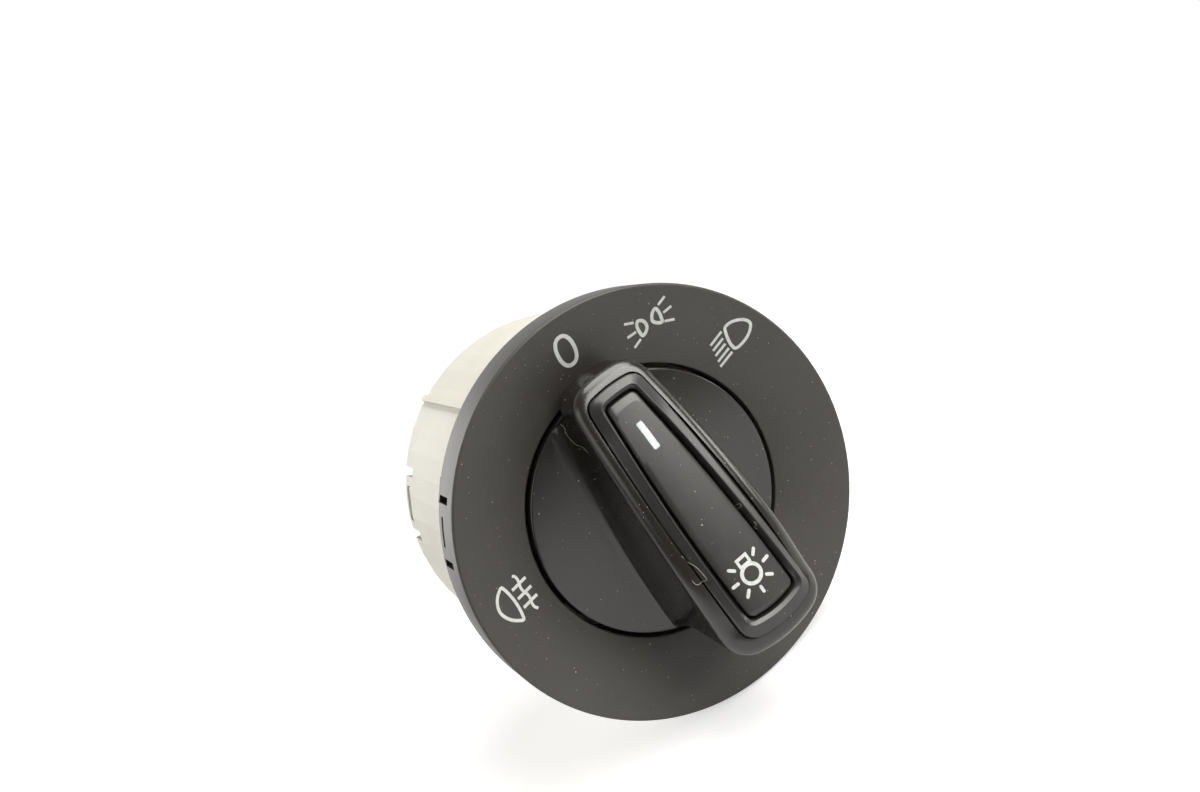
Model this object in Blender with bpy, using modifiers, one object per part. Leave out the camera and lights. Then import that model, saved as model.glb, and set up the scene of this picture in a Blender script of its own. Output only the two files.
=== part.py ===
# Rotary headlight switch for a dashboard: bezel, housing, turning and sliding knob,
# rotor with wipers and detent, circuit board, light guides, release latches, rear socket.
# Local frame: z along the knob's axis toward the driver, y toward the "0" position,
# z = 0 where the bezel's skirt sits on the dash. The root empty turns it upright.

import math

import bmesh
import bpy
from mathutils import Matrix, Vector

MM = 0.001

# Driving sizes, in millimetres
BEZEL_R = 38.0            # outer radius of the face
BEZEL_DEPTH = 8.2         # skirt, from the dash to the front rim
BEZEL_DISH = 4.0          # how far the face falls toward the knob
BEZEL_WALL = 1.8
BEZEL_COLLAR_T = 1.2      # collar that hides the light guide
HOUSING_R = 33.9
HOUSING_WALL = 2.0
HOUSING_LENGTH = 40.8     # behind the dash
FLANGE_T = 2.0            # flange that the bezel snaps over
FLANGE_LEVEL = 0.9        # rear side of the flange, in front of the dash
KNOB_R = 23.45
KNOB_GAP = 0.75           # round the knob, to the bezel
KNOB_LEVEL = 4.7          # face of the knob's disc
DISC_T = 2.0
SKIRT_WALL = 1.6
KNOB_SKIRT_REAR = -1.5
GRIP_LEVEL = 24.3         # top plane of the grip at the axis
GRIP_SLOPE = 0.28         # fall of that plane toward the pointer
DECK_LEVEL = -9.0         # front side of the housing's deck
DECK_T = 2.0
BOARD_LEVEL = -26.0       # front side of the circuit board
BOARD_T = 1.6
COVER_T = 2.0
SHAFT_SIZE = 7.0          # across flats
PULL = 4.5                # travel of the knob, out for the fog lamp
PUSH = 2.5                # travel of the knob, in for removal
STEP_ANGLE = 30.0         # between two switch positions

# Clearances
RUN_FIT = 0.3             # between pieces that move
SEAT = 0.15               # between pieces that rest on each other
SEAM = 0.2                # visible seams in the grip
FIT = 0.3                 # between fixed pieces

# Angles, counter-clockwise from +x, seen from the driver's side
BEZEL_TONGUES = (151.2, 31.2, 271.2)
COVER_TONGUES = (153.0, 33.0, 273.0)
GUIDE_RIBS = (117.0, 237.0, 357.0)
LATCH_ANGLES = {"left": 220.0, "right": 320.0}
SYMBOL_ANGLES = (90.0, 60.3, 29.7, 175.2)
POST_ANGLES = (0.0, 120.0, 240.0)
DETENT_ANGLE = 120.0
WIPER_ANGLE = 300.0
ROD_ANGLE = 180.0

BIG_STEPS = 64
MID_STEPS = 48
SMALL_STEPS = 32
ROD_STEPS = 14

for old in list(bpy.data.objects):
    bpy.data.objects.remove(old, do_unlink=True)

parts = bpy.data.collections.new("headlight_switch")
cutters = bpy.data.collections.new("cutters")
bpy.context.scene.collection.children.link(parts)
bpy.context.scene.collection.children.link(cutters)

root = bpy.data.objects.new("switch_frame", None)
parts.objects.link(root)
root.rotation_euler = (math.radians(90.0), 0.0, 0.0)


def axis_empty(name, parent, location=(0.0, 0.0, 0.0), turn=0.0):
    empty = bpy.data.objects.new(name, None)
    parts.objects.link(empty)
    empty.parent = parent
    empty.location = [v * MM for v in location]
    empty.rotation_euler = (0.0, 0.0, math.radians(turn))
    return empty


rotor_axis = axis_empty("rotor_axis", root)
knob_axis = axis_empty("knob_axis", rotor_axis)


def srgb(value):
    value = value / 255.0
    if value <= 0.04045:
        return value / 12.92
    return ((value + 0.055) / 1.055) ** 2.4


def make_material(name, rgb, roughness, metallic=0.0):
    mat = bpy.data.materials.new(name)
    mat.use_nodes = True
    shader = mat.node_tree.nodes["Principled BSDF"]
    shader.inputs["Base Color"].default_value = [srgb(c) for c in rgb] + [1.0]
    shader.inputs["Roughness"].default_value = roughness
    shader.inputs["Metallic"].default_value = metallic
    return mat


def put(name, mesh, look, parent=root, smooth=30.0):
    obj = bpy.data.objects.new(name, mesh)
    parts.objects.link(obj)
    obj.parent = parent
    rgb, roughness, metallic = look
    mesh.materials.append(make_material(name + "_look", rgb, roughness, metallic))
    if smooth:
        mesh.shade_smooth()
        mesh.set_sharp_from_angle(angle=math.radians(smooth))
    return obj


def hide_as_cutter(obj):
    obj.hide_render = True
    obj.display_type = "WIRE"
    for coll in list(obj.users_collection):
        coll.objects.unlink(obj)
    cutters.objects.link(obj)
    return obj


def tool(name, mesh, parent=root):
    obj = bpy.data.objects.new(name, mesh)
    cutters.objects.link(obj)
    obj.parent = parent
    return hide_as_cutter(obj)


def combine(obj, other, operation):
    mod = obj.modifiers.new(operation.lower() + "_" + other.name, "BOOLEAN")
    mod.operation = operation
    mod.solver = "EXACT"
    mod.object = other
    return mod


def cut(obj, *others):
    for other in others:
        combine(obj, other, "DIFFERENCE")


def join(obj, *others):
    for other in others:
        combine(obj, other, "UNION")


def closed(bm, name):
    bmesh.ops.recalc_face_normals(bm, faces=bm.faces)
    mesh = bpy.data.meshes.new(name)
    bm.to_mesh(mesh)
    bm.free()
    return mesh


def box_mesh(name, size, centre, turn=0.0):
    bm = bmesh.new()
    bmesh.ops.create_cube(bm, size=1.0)
    shape = Matrix.Rotation(math.radians(turn), 4, "Z")
    shape = shape @ Matrix.Translation([v * MM for v in centre])
    shape = shape @ Matrix.Diagonal([v * MM for v in size] + [1.0])
    bmesh.ops.transform(bm, matrix=shape, verts=bm.verts)
    return closed(bm, name)


def rod_mesh(name, radius, low, high, at=(0.0, 0.0), steps=SMALL_STEPS):
    bm = bmesh.new()
    bmesh.ops.create_cone(bm, cap_ends=True, segments=steps, radius1=radius * MM,
                          radius2=radius * MM, depth=(high - low) * MM)
    move = Matrix.Translation((at[0] * MM, at[1] * MM, (low + high) / 2.0 * MM))
    bmesh.ops.transform(bm, matrix=move, verts=bm.verts)
    return closed(bm, name)


def profile_mesh(name, points, loop=True):
    verts = [(r * MM, 0.0, z * MM) for r, z in points]
    edges = [(i, i + 1) for i in range(len(points) - 1)]
    if loop:
        edges.append((len(points) - 1, 0))
    mesh = bpy.data.meshes.new(name)
    mesh.from_pydata(verts, edges, [])
    return mesh


def turn_profile(obj, steps):
    mod = obj.modifiers.new("turned", "SCREW")
    mod.axis = "Z"
    mod.angle = math.radians(360.0)
    mod.steps = steps
    mod.render_steps = steps
    mod.use_merge_vertices = True
    mod.merge_threshold = 0.00001
    mod.use_smooth_shade = False
    return mod


def turned(name, points, look, steps, parent=root, loop=True):
    obj = put(name, profile_mesh(name, points, loop), look, parent, smooth=0.0)
    turn_profile(obj, steps)
    return obj


def turned_tool(name, points, steps, parent=root, loop=True):
    obj = tool(name, profile_mesh(name, points, loop), parent)
    turn_profile(obj, steps)
    return obj


def polar(radius, angle):
    a = math.radians(angle)
    return radius * math.cos(a), radius * math.sin(a)


def loft_mesh(name, rings, ring_tube=False):
    bm = bmesh.new()
    rows = [[bm.verts.new([c * MM for c in p]) for p in ring] for ring in rings]
    count = len(rows[0])
    pairs = list(zip(rows, rows[1:]))
    if ring_tube:
        pairs.append((rows[-1], rows[0]))
    for low, high in pairs:
        for i in range(count):
            j = (i + 1) % count
            bm.faces.new((low[i], low[j], high[j], high[i]))
    if not ring_tube:
        bm.faces.new(rows[0])
        bm.faces.new(list(reversed(rows[-1])))
    return closed(bm, name)


def strip_mesh(name, path, thickness, low, high):
    # A bent strip: path points in the plane, thickness across it, height along z
    rings = []
    for i, point in enumerate(path):
        before = Vector(path[max(i - 1, 0)])
        after = Vector(path[min(i + 1, len(path) - 1)])
        along = (after - before).normalized()
        side = Vector((-along.y, along.x)) * (thickness / 2.0)
        inner = Vector(point) - side
        outer = Vector(point) + side
        rings.append([(inner.x, inner.y, low), (outer.x, outer.y, low),
                      (outer.x, outer.y, high), (inner.x, inner.y, high)])
    return loft_mesh(name, rings)


def moved(mesh, matrix):
    mesh.transform(matrix)
    return mesh


def coil(name, radius, wire, turns, length, look, parent, per_turn=14):
    curve = bpy.data.curves.new(name, "CURVE")
    curve.dimensions = "3D"
    curve.bevel_depth = wire * MM
    curve.bevel_resolution = 1
    curve.use_fill_caps = True
    spline = curve.splines.new("POLY")
    count = int(turns * per_turn) + 1
    spline.points.add(count - 1)
    for i, point in enumerate(spline.points):
        share = i / (count - 1)
        angle = share * turns * 2.0 * math.pi
        # the end turns lie flat, as on a ground spring
        rise = min(max((share * turns - 0.75) / (turns - 1.5), 0.0), 1.0)
        point.co = (radius * math.cos(angle) * MM, radius * math.sin(angle) * MM,
                    (wire + rise * (length - 2.0 * wire)) * MM, 1.0)
    rgb, roughness, metallic = look
    curve.materials.append(make_material(name + "_look", rgb, roughness, metallic))
    obj = bpy.data.objects.new(name, curve)
    parts.objects.link(obj)
    obj.parent = parent
    weld = obj.modifiers.new("caps", "WELD")
    weld.merge_threshold = 0.00001
    return obj


# Looks: colour, roughness, metallic
BLACK_FACE = ((76, 76, 73), 0.55, 0.0)
BLACK_KNOB = ((62, 60, 57), 0.5, 0.0)
BLACK_TRIM = ((70, 68, 64), 0.4, 0.0)
PALE_PLASTIC = ((215, 211, 198), 0.5, 0.0)
CLEAR_GUIDE = ((225, 228, 230), 0.15, 0.0)
WHITE_LENS = ((240, 243, 250), 0.35, 0.0)
BOARD_GREEN = ((40, 92, 62), 0.5, 0.0)
TINNED = ((200, 200, 196), 0.3, 1.0)
BRASS = ((205, 170, 95), 0.3, 1.0)
STEEL = ((175, 176, 178), 0.3, 1.0)
LED_WHITE = ((235, 232, 205), 0.4, 0.0)
ROTOR_GREY = ((120, 120, 116), 0.5, 0.0)


# Bezel: dished face, skirt and inner collar in one turned moulding
bezel_inner_r = KNOB_R + KNOB_GAP
face_low = BEZEL_DEPTH - BEZEL_DISH
face_slope = BEZEL_DISH / (BEZEL_R - bezel_inner_r)
face_back = BEZEL_WALL * math.hypot(1.0, face_slope)
skirt_r = BEZEL_R - BEZEL_WALL
collar_r = bezel_inner_r + BEZEL_COLLAR_T
collar_rear = KNOB_LEVEL - 4.1
edge = 0.35


def face_level(radius):
    return face_low + (radius - bezel_inner_r) * face_slope


bezel = turned("bezel", [
    (bezel_inner_r, face_low - edge),
    (bezel_inner_r + edge, face_level(bezel_inner_r + edge)),
    (BEZEL_R - edge, face_level(BEZEL_R - edge)),
    (BEZEL_R, BEZEL_DEPTH - 2.0 * edge),
    (BEZEL_R, 0.0),
    (skirt_r, 0.0),
    (skirt_r, face_level(skirt_r) - face_back),
    (collar_r, face_level(collar_r) - face_back),
    (collar_r, collar_rear),
    (bezel_inner_r, collar_rear),
], BLACK_FACE, BIG_STEPS)

relief_depth = 5.1
relief_angle = 8.2
relief_width = 1.3
window_low = 1.6
window_high = 2.6
window_width = 5.2
for n, angle in enumerate(BEZEL_TONGUES):
    for side in (-1.0, 1.0):
        size = (BEZEL_WALL + 2.0, relief_width, relief_depth + 1.0)
        centre = (BEZEL_R - BEZEL_WALL / 2.0, 0.0, (relief_depth - 1.0) / 2.0)
        label = "bezel_relief_%d_%s" % (n + 1, "a" if side < 0 else "b")
        cut(bezel, tool(label, box_mesh(label, size, centre, angle + side * relief_angle)))
    label = "bezel_window_%d" % (n + 1)
    size = (BEZEL_WALL + 2.0, window_width, window_high - window_low)
    centre = (BEZEL_R - BEZEL_WALL / 2.0, 0.0, (window_high + window_low) / 2.0)
    cut(bezel, tool(label, box_mesh(label, size, centre, angle)))

# Symbol light guide: clear ring behind the face, one leg to each lamp
guide_inner_r = collar_r + FIT + 0.1
guide_outer_r = skirt_r - 1.0
guide_gap = FIT
flange_top = FLANGE_LEVEL + FLANGE_T
housing_bore_r = HOUSING_R - HOUSING_WALL
guide_step_r = housing_bore_r - FIT - 0.1
guide_rear = collar_rear
leg_r = (guide_inner_r + guide_step_r) / 2.0
leg_radius = 1.6
led_height = 1.2
led_seat = BOARD_LEVEL + SEAT / 2.0
lamp_top = led_seat + led_height
symbol_light_guide = turned("symbol_light_guide", [
    (guide_inner_r, face_level(guide_inner_r) - face_back - guide_gap),
    (guide_outer_r, face_level(guide_outer_r) - face_back - guide_gap),
    (guide_outer_r, flange_top + guide_gap),
    (guide_step_r, flange_top + guide_gap),
    (guide_step_r, guide_rear),
    (guide_inner_r, guide_rear),
], CLEAR_GUIDE, 40)
for n, angle in enumerate(SYMBOL_ANGLES):
    label = "guide_leg_%d" % (n + 1)
    leg = rod_mesh(label, leg_radius, lamp_top + RUN_FIT, guide_rear + 1.0,
                   polar(leg_r, angle), ROD_STEPS)
    join(symbol_light_guide, tool(label, leg))

# Housing: barrel, flange, deck, rotor bearing and detent track in one moulding
deck_rear = DECK_LEVEL - DECK_T
neck_r = 9.3
bearing_r = neck_r + RUN_FIT
bearing_outer_r = 12.0
bearing_front = -7.5
bearing_rear = -15.0
track_r = 21.9
track_outer_r = 24.0
track_rear = BOARD_LEVEL + 6.2
housing = turned("housing", [
    (housing_bore_r, flange_top),
    (skirt_r - FIT, flange_top),
    (skirt_r - FIT, FLANGE_LEVEL),
    (HOUSING_R, FLANGE_LEVEL),
    (HOUSING_R, -HOUSING_LENGTH),
    (housing_bore_r, -HOUSING_LENGTH),
    (housing_bore_r, deck_rear),
    (track_outer_r, deck_rear),
    (track_outer_r, track_rear),
    (track_r, track_rear),
    (track_r, deck_rear),
    (bearing_outer_r, deck_rear),
    (bearing_outer_r, bearing_rear),
    (bearing_r, bearing_rear),
    (bearing_r, bearing_front),
    (bearing_outer_r, bearing_front),
    (bearing_outer_r, DECK_LEVEL),
    (housing_bore_r, DECK_LEVEL),
], PALE_PLASTIC, MID_STEPS)

# snap lugs that stand in the bezel's windows
lug_height = window_high - window_low - 0.4
lug_reach = BEZEL_R - 0.4
for n, angle in enumerate(BEZEL_TONGUES):
    label = "bezel_lug_%d" % (n + 1)
    low_r = skirt_r - FIT - 1.0
    size = (lug_reach - low_r, window_width - 0.6, lug_height)
    centre = ((lug_reach + low_r) / 2.0, 0.0, (window_high + window_low) / 2.0)
    join(housing, tool(label, box_mesh(label, size, centre, angle)))

# the barrel is cut away behind the ends of the bezel's tongues
TONGUE_ROOM = 5.0
TONGUE_ROOM_ANGLE = relief_angle + 2.0
for n, angle in enumerate(BEZEL_TONGUES):
    for side in (-1.0, 1.0):
        label = "tongue_room_%d_%s" % (n + 1, "a" if side < 0 else "b")
        size = (HOUSING_WALL + 6.0, TONGUE_ROOM, flange_top + 1.25)
        centre = (HOUSING_R, 0.0, (flange_top - 0.25) / 2.0)
        cut(housing, tool(label, box_mesh(label, size, centre, angle + side * TONGUE_ROOM_ANGLE)))

# guide ribs along the barrel, narrower at the rear
rib_width = 2.6
rib_height = 0.9
rib_rear = -HOUSING_LENGTH + 0.2
for n, angle in enumerate(GUIDE_RIBS):
    label = "guide_rib_%d" % (n + 1)
    low_r = HOUSING_R - 0.6
    rings = []
    for z, top, half in ((FLANGE_LEVEL - 0.5, rib_height, 0.5), (rib_rear, rib_height - 0.2, 0.32)):
        w = rib_width * half
        rings.append([(low_r, -w, z), (HOUSING_R + top, -w * 0.7, z),
                      (HOUSING_R + top, w * 0.7, z), (low_r, w, z)])
    rib = moved(loft_mesh(label, rings), Matrix.Rotation(math.radians(angle), 4, "Z"))
    join(housing, tool(label, rib))

# rear snap tongues: two relief notches and a slot at each
slot_low = -HOUSING_LENGTH + 1.0
slot_high = slot_low + 2.5
slot_width = 7.0
notch_depth = 5.4
notch_angle = 10.8
notch_width = 1.9
for n, angle in enumerate(COVER_TONGUES):
    middle_r = HOUSING_R - HOUSING_WALL / 2.0
    for side in (-1.0, 1.0):
        label = "rear_notch_%d_%s" % (n + 1, "a" if side < 0 else "b")
        size = (HOUSING_WALL + 2.0, notch_width, notch_depth + 1.0)
        centre = (middle_r, 0.0, -HOUSING_LENGTH + (notch_depth - 1.0) / 2.0)
        cut(housing, tool(label, box_mesh(label, size, centre, angle + side * notch_angle)))
    label = "rear_slot_%d" % (n + 1)
    size = (HOUSING_WALL + 2.0, slot_width, slot_high - slot_low)
    centre = (middle_r, 0.0, (slot_high + slot_low) / 2.0)
    cut(housing, tool(label, box_mesh(label, size, centre, angle)))

# posts that carry the board, with staked heads behind it
post_r = housing_bore_r - 4.9
post_radius = 2.2
peg_radius = 1.0
stake_radius = 1.9
board_rear = BOARD_LEVEL - BOARD_T
for n, angle in enumerate(POST_ANGLES):
    label = "board_post_%d" % (n + 1)
    post = turned_tool(label, [
        (0.0, deck_rear + 1.0),
        (post_radius, deck_rear + 1.0),
        (post_radius, BOARD_LEVEL + SEAT),
        (peg_radius, BOARD_LEVEL + SEAT),
        (peg_radius, board_rear - SEAT),
        (stake_radius, board_rear - SEAT),
        (stake_radius * 0.7, board_rear - SEAT - 0.8),
        (0.0, board_rear - SEAT - 0.8),
    ], 10, loop=False)
    x, y = polar(post_r, angle)
    post.location = (x * MM, y * MM, 0.0)
    join(housing, post)

# holes in the deck for the light guide's legs and the knob's light rod
rod_r = 19.5
rod_radius = 1.3
for n, angle in enumerate(SYMBOL_ANGLES):
    label = "leg_hole_%d" % (n + 1)
    hole = rod_mesh(label, leg_radius + RUN_FIT, deck_rear - 1.0, DECK_LEVEL + 1.0,
                    polar(leg_r, angle), ROD_STEPS)
    cut(housing, tool(label, hole))
hole = rod_mesh("rod_hole", rod_radius + RUN_FIT, deck_rear - 1.0, DECK_LEVEL + 1.0,
                polar(rod_r, ROD_ANGLE), ROD_STEPS)
cut(housing, tool("rod_hole", hole))

# detent valleys, one for each switch position
valley_r = 1.6
valley_centre_r = 21.5
for n in range(3):
    label = "detent_valley_%d" % (n + 1)
    at = polar(valley_centre_r, DETENT_ANGLE - n * STEP_ANGLE)
    valley = rod_mesh(label, valley_r, track_rear - 1.0, deck_rear + 0.5, at, 16)
    cut(housing, tool(label, valley))

# Release latches: guides and stop in front of the deck, window in the barrel
latch_travel = 2.0
latch_half = 6.5
tongue_half = 5.0
latch_rear = DECK_LEVEL + RUN_FIT
latch_front = -4.7
latch_shoulder_r = math.sqrt((housing_bore_r - RUN_FIT) ** 2 - latch_half ** 2)
latch_inner_r = latch_shoulder_r - 4.4
latch_reach = HOUSING_R + 1.9
guide_wall_t = 1.2
guide_wall_front = -4.9
stop_r = latch_inner_r - 5.9
for side, angle in LATCH_ANGLES.items():
    half = latch_half + RUN_FIT
    label = "latch_guide_" + side
    outer_reach = housing_bore_r + 0.6
    inner_r = stop_r - guide_wall_t
    size = (outer_reach - inner_r, 2.0 * (half + guide_wall_t), guide_wall_front - DECK_LEVEL + 0.5)
    centre = ((outer_reach + inner_r) / 2.0, 0.0, (guide_wall_front + DECK_LEVEL - 0.5) / 2.0)
    guide = tool(label, box_mesh(label, size, centre, angle))
    label = "latch_room_" + side
    size = (housing_bore_r + 2.0 - stop_r, 2.0 * half, 10.0)
    centre = ((housing_bore_r + 2.0 + stop_r) / 2.0, 0.0, DECK_LEVEL + 5.0)
    cut(guide, tool(label, box_mesh(label, size, centre, angle)))
    label = "latch_floor_" + side
    size = (outer_reach - inner_r + 2.0, 2.0 * half + 1.0, 4.0)
    centre = ((outer_reach + inner_r) / 2.0, 0.0, DECK_LEVEL - 2.0 - 0.3)
    cut(guide, tool(label, box_mesh(label, size, centre, angle)))
    join(housing, guide)
    label = "latch_window_" + side
    size = (HOUSING_WALL + 2.6, 2.0 * (tongue_half + RUN_FIT), latch_front + RUN_FIT - DECK_LEVEL)
    centre = (HOUSING_R - HOUSING_WALL / 2.0 + 0.35, 0.0,
              (latch_front + RUN_FIT + DECK_LEVEL) / 2.0 + 0.05)
    cut(housing, tool(label, box_mesh(label, size, centre, angle)))

for side, angle in LATCH_ANGLES.items():
    axis = axis_empty("latch_axis_" + side, root, turn=angle)
    low, high = latch_rear, latch_front
    foot = box_mesh("release_latch_" + side,
                    (latch_shoulder_r - latch_inner_r, 2.0 * latch_half, high - low),
                    ((latch_shoulder_r + latch_inner_r) / 2.0, 0.0, (high + low) / 2.0))
    latch = put("release_latch_" + side, foot, BLACK_TRIM, axis)
    inner = latch_shoulder_r - 1.0
    ring_a = [(inner, y, low) for y in (-tongue_half, tongue_half)]
    ring_a += [(inner, y, high) for y in (tongue_half, -tongue_half)]
    ring_b = [(latch_reach - 1.6, y, low) for y in (-tongue_half, tongue_half)]
    ring_b += [(latch_reach, y, high) for y in (tongue_half, -tongue_half)]
    nose = tool("latch_nose_" + side, loft_mesh("latch_nose_" + side, [ring_a, ring_b]), axis)
    join(latch, nose)

    spring_length = latch_inner_r - stop_r - 2.0 * SEAT
    spring = coil("latch_spring_" + side, 1.3, 0.22, 4, spring_length, STEEL, axis, 8)
    spring.location = ((stop_r + SEAT) * MM, 0.0, (low + high) / 2.0 * MM)
    spring.rotation_euler = (0.0, math.radians(90.0), 0.0)

# Rear cover: plate, snap tongues, slider guide pins and connector socket
cover_r = housing_bore_r - FIT
cover_front = -HOUSING_LENGTH + COVER_T
rear_cover = turned("rear_cover", [
    (0.0, cover_front),
    (cover_r, cover_front),
    (cover_r, -HOUSING_LENGTH),
    (0.0, -HOUSING_LENGTH),
], PALE_PLASTIC, MID_STEPS, loop=False)
for n, angle in enumerate(COVER_TONGUES):
    label = "cover_tongue_%d" % (n + 1)
    size = (1.4, slot_width + 1.0, 4.6)
    centre = (cover_r - 1.4, 0.0, cover_front + 1.6)
    join(rear_cover, tool(label, box_mesh(label, size, centre, angle)))
    label = "cover_lug_%d" % (n + 1)
    lug_r = HOUSING_R - 0.4
    size = (lug_r - cover_r + 2.0, slot_width - 2.0 * FIT, slot_high - slot_low - 2.0 * FIT)
    centre = ((lug_r + cover_r - 2.0) / 2.0, 0.0, (slot_high + slot_low) / 2.0)
    join(rear_cover, tool(label, box_mesh(label, size, centre, angle)))

slider_pin_x = 9.5
slider_pin_r = 1.5
for n, x in enumerate((-slider_pin_x, slider_pin_x)):
    label = "slider_pin_%d" % (n + 1)
    pin = rod_mesh(label, slider_pin_r, cover_front - 0.5, board_rear - 0.4, (x, 0.0), 16)
    join(rear_cover, tool(label, pin))

pin_pitch = 4.0
row_pitch = 5.6
pin_rows = 2
pins_a_row = 5
pin_size = 0.8
pin_hole = pin_size + 2.0 * FIT
socket_y = -21.0
socket_wall = 1.2
socket_half_x = pin_pitch * (pins_a_row - 1) / 2.0 + 2.1
socket_half_y = row_pitch / 2.0 + 2.8
socket_front = cover_front + 5.8
socket_floor_t = 1.5
socket_rear = -HOUSING_LENGTH - 6.2
size = (2.0 * (socket_half_x + socket_wall), 2.0 * (socket_half_y + socket_wall),
        socket_front - socket_rear)
centre = (0.0, socket_y, (socket_front + socket_rear) / 2.0)
join(rear_cover, tool("socket_block", box_mesh("socket_block", size, centre)))
size = (2.0 * socket_half_x, 2.0 * socket_half_y, socket_front - socket_rear)
centre = (0.0, socket_y, (socket_front + socket_rear) / 2.0 - socket_floor_t)
cut(rear_cover, tool("socket_room", box_mesh("socket_room", size, centre)))
size = (4.0, socket_wall + 1.0, 3.0)
centre = (0.0, socket_y - socket_half_y - socket_wall / 2.0, socket_rear + 3.0)
cut(rear_cover, tool("socket_catch", box_mesh("socket_catch", size, centre)))

# Circuit board with its lamps, contact tracks and terminal pins
board_r = housing_bore_r - 0.5
shaft_hole_r = 5.6
board = turned("circuit_board", [
    (shaft_hole_r, BOARD_LEVEL),
    (board_r, BOARD_LEVEL),
    (board_r, board_rear),
    (shaft_hole_r, board_rear),
], BOARD_GREEN, 36)
for n, angle in enumerate(POST_ANGLES):
    label = "board_hole_%d" % (n + 1)
    hole = rod_mesh(label, peg_radius + FIT, board_rear - 1.0, BOARD_LEVEL + 1.0,
                    polar(post_r, angle), 16)
    cut(board, tool(label, hole))

pin_top = BOARD_LEVEL + 1.1
pin_tip = socket_rear + 1.5
number = 0
for row in range(pin_rows):
    for place in range(pins_a_row):
        number += 1
        x = (place - (pins_a_row - 1) / 2.0) * pin_pitch
        y = socket_y + (row_pitch / 2.0 if row == 0 else -row_pitch / 2.0)
        hole_size = (pin_hole, pin_hole, BOARD_T + 2.0)
        label = "pin_hole_board_%d" % number
        hole = box_mesh(label, hole_size, (x, y, BOARD_LEVEL - BOARD_T / 2.0))
        cut(board, tool(label, hole))
        label = "pin_hole_cover_%d" % number
        hole = box_mesh(label, (pin_hole, pin_hole, socket_floor_t + 2.0),
                        (x, y, socket_front - socket_floor_t / 2.0))
        cut(rear_cover, tool(label, hole))
        pin = box_mesh("terminal_pin_%d" % number, (pin_size, pin_size, pin_top - pin_tip),
                       (x, y, (pin_top + pin_tip) / 2.0))
        put("terminal_pin_%d" % number, pin, TINNED)

for n, angle in enumerate(SYMBOL_ANGLES + (ROD_ANGLE,)):
    radius = rod_r if angle == ROD_ANGLE else leg_r
    label = "led_%d" % (n + 1)
    lamp = box_mesh(label, (3.0, 2.6, led_height), (radius, 0.0, led_seat + led_height / 2.0),
                    angle)
    put(label, lamp, LED_WHITE)

light_rod_top = -3.2
rod = rod_mesh("knob_light_rod", rod_radius, lamp_top + RUN_FIT, light_rod_top,
               polar(rod_r, ROD_ANGLE), ROD_STEPS)
put("knob_light_rod", rod, CLEAR_GUIDE)

track_radii = (10.0, 12.6, 15.2)
track_width = 1.8
track_t = 0.3
track_level = BOARD_LEVEL + SEAT / 2.0
sweep = 2.0 * STEP_ANGLE
for n, radius in enumerate(track_radii):
    rings = []
    first = WIPER_ANGLE - sweep - 22.0
    last = WIPER_ANGLE + 30.0
    for i in range(19):
        angle = first + (last - first) * i / 18.0
        inner = polar(radius - track_width / 2.0, angle)
        outer = polar(radius + track_width / 2.0, angle)
        rings.append([inner + (track_level,), outer + (track_level,),
                      outer + (track_level + track_t,), inner + (track_level + track_t,)])
    label = "contact_track_%d" % (n + 1)
    put(label, loft_mesh(label, rings), BRASS)

# Rotor: neck in the housing's bearing, barrel, contact carrier and detent lugs
neck_front = -5.6
spring_room_r = 6.8
spring_floor = -13.0
barrel_r = 12.5
barrel_front = bearing_rear - RUN_FIT
carrier_front = track_rear - 0.2
carrier_r = 17.0
carrier_rear = carrier_front - 2.3
ring_t = 0.8
ring_rear = bearing_front + RUN_FIT
groove_r = 8.5
rotor = turned("rotor", [
    (0.0, spring_floor),
    (spring_room_r, spring_floor),
    (spring_room_r, neck_front),
    (neck_r, neck_front),
    (neck_r, ring_rear + ring_t + 0.1),
    (groove_r, ring_rear + ring_t + 0.1),
    (groove_r, ring_rear - 0.1),
    (neck_r, ring_rear - 0.1),
    (neck_r, barrel_front),
    (barrel_r, barrel_front),
    (barrel_r, carrier_front),
    (carrier_r, carrier_front),
    (carrier_r, carrier_rear),
    (0.0, carrier_rear),
], ROTOR_GREY, 32, rotor_axis, loop=False)
leaf_low = track_rear + 0.2
leaf_high = leaf_low + 3.6
lug_r = 17.6
leaf_end_angle = 39.0
for n, side in enumerate((-1.0, 1.0)):
    label = "leaf_lug_%d" % (n + 1)
    low_r = barrel_r - 1.0
    size = (lug_r - low_r, 3.0, leaf_high - carrier_front + 1.0)
    centre = ((lug_r + low_r) / 2.0, 0.0, (leaf_high + carrier_front) / 2.0 - 0.5)
    lug = box_mesh(label, size, centre, DETENT_ANGLE + side * leaf_end_angle)
    join(rotor, tool(label, lug, rotor_axis))
shaft_hole = box_mesh("shaft_hole", (SHAFT_SIZE + 2.0 * RUN_FIT, SHAFT_SIZE + 2.0 * RUN_FIT, 30.0),
                      (0.0, 0.0, carrier_rear + 5.0))
cut(rotor, tool("shaft_hole", shaft_hole, rotor_axis))

# retaining ring in the neck's groove, open on one side
ring_inner_r = groove_r + 0.2
ring = turned("retaining_ring", [
    (ring_inner_r, ring_rear + ring_t),
    (bearing_outer_r - 0.7, ring_rear + ring_t),
    (bearing_outer_r - 0.7, ring_rear),
    (ring_inner_r, ring_rear),
], STEEL, 32, rotor_axis)
cut(ring, tool("ring_opening", box_mesh("ring_opening", (10.0, 3.0, 4.0), (11.0, 0.0, ring_rear)),
               rotor_axis))

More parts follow.
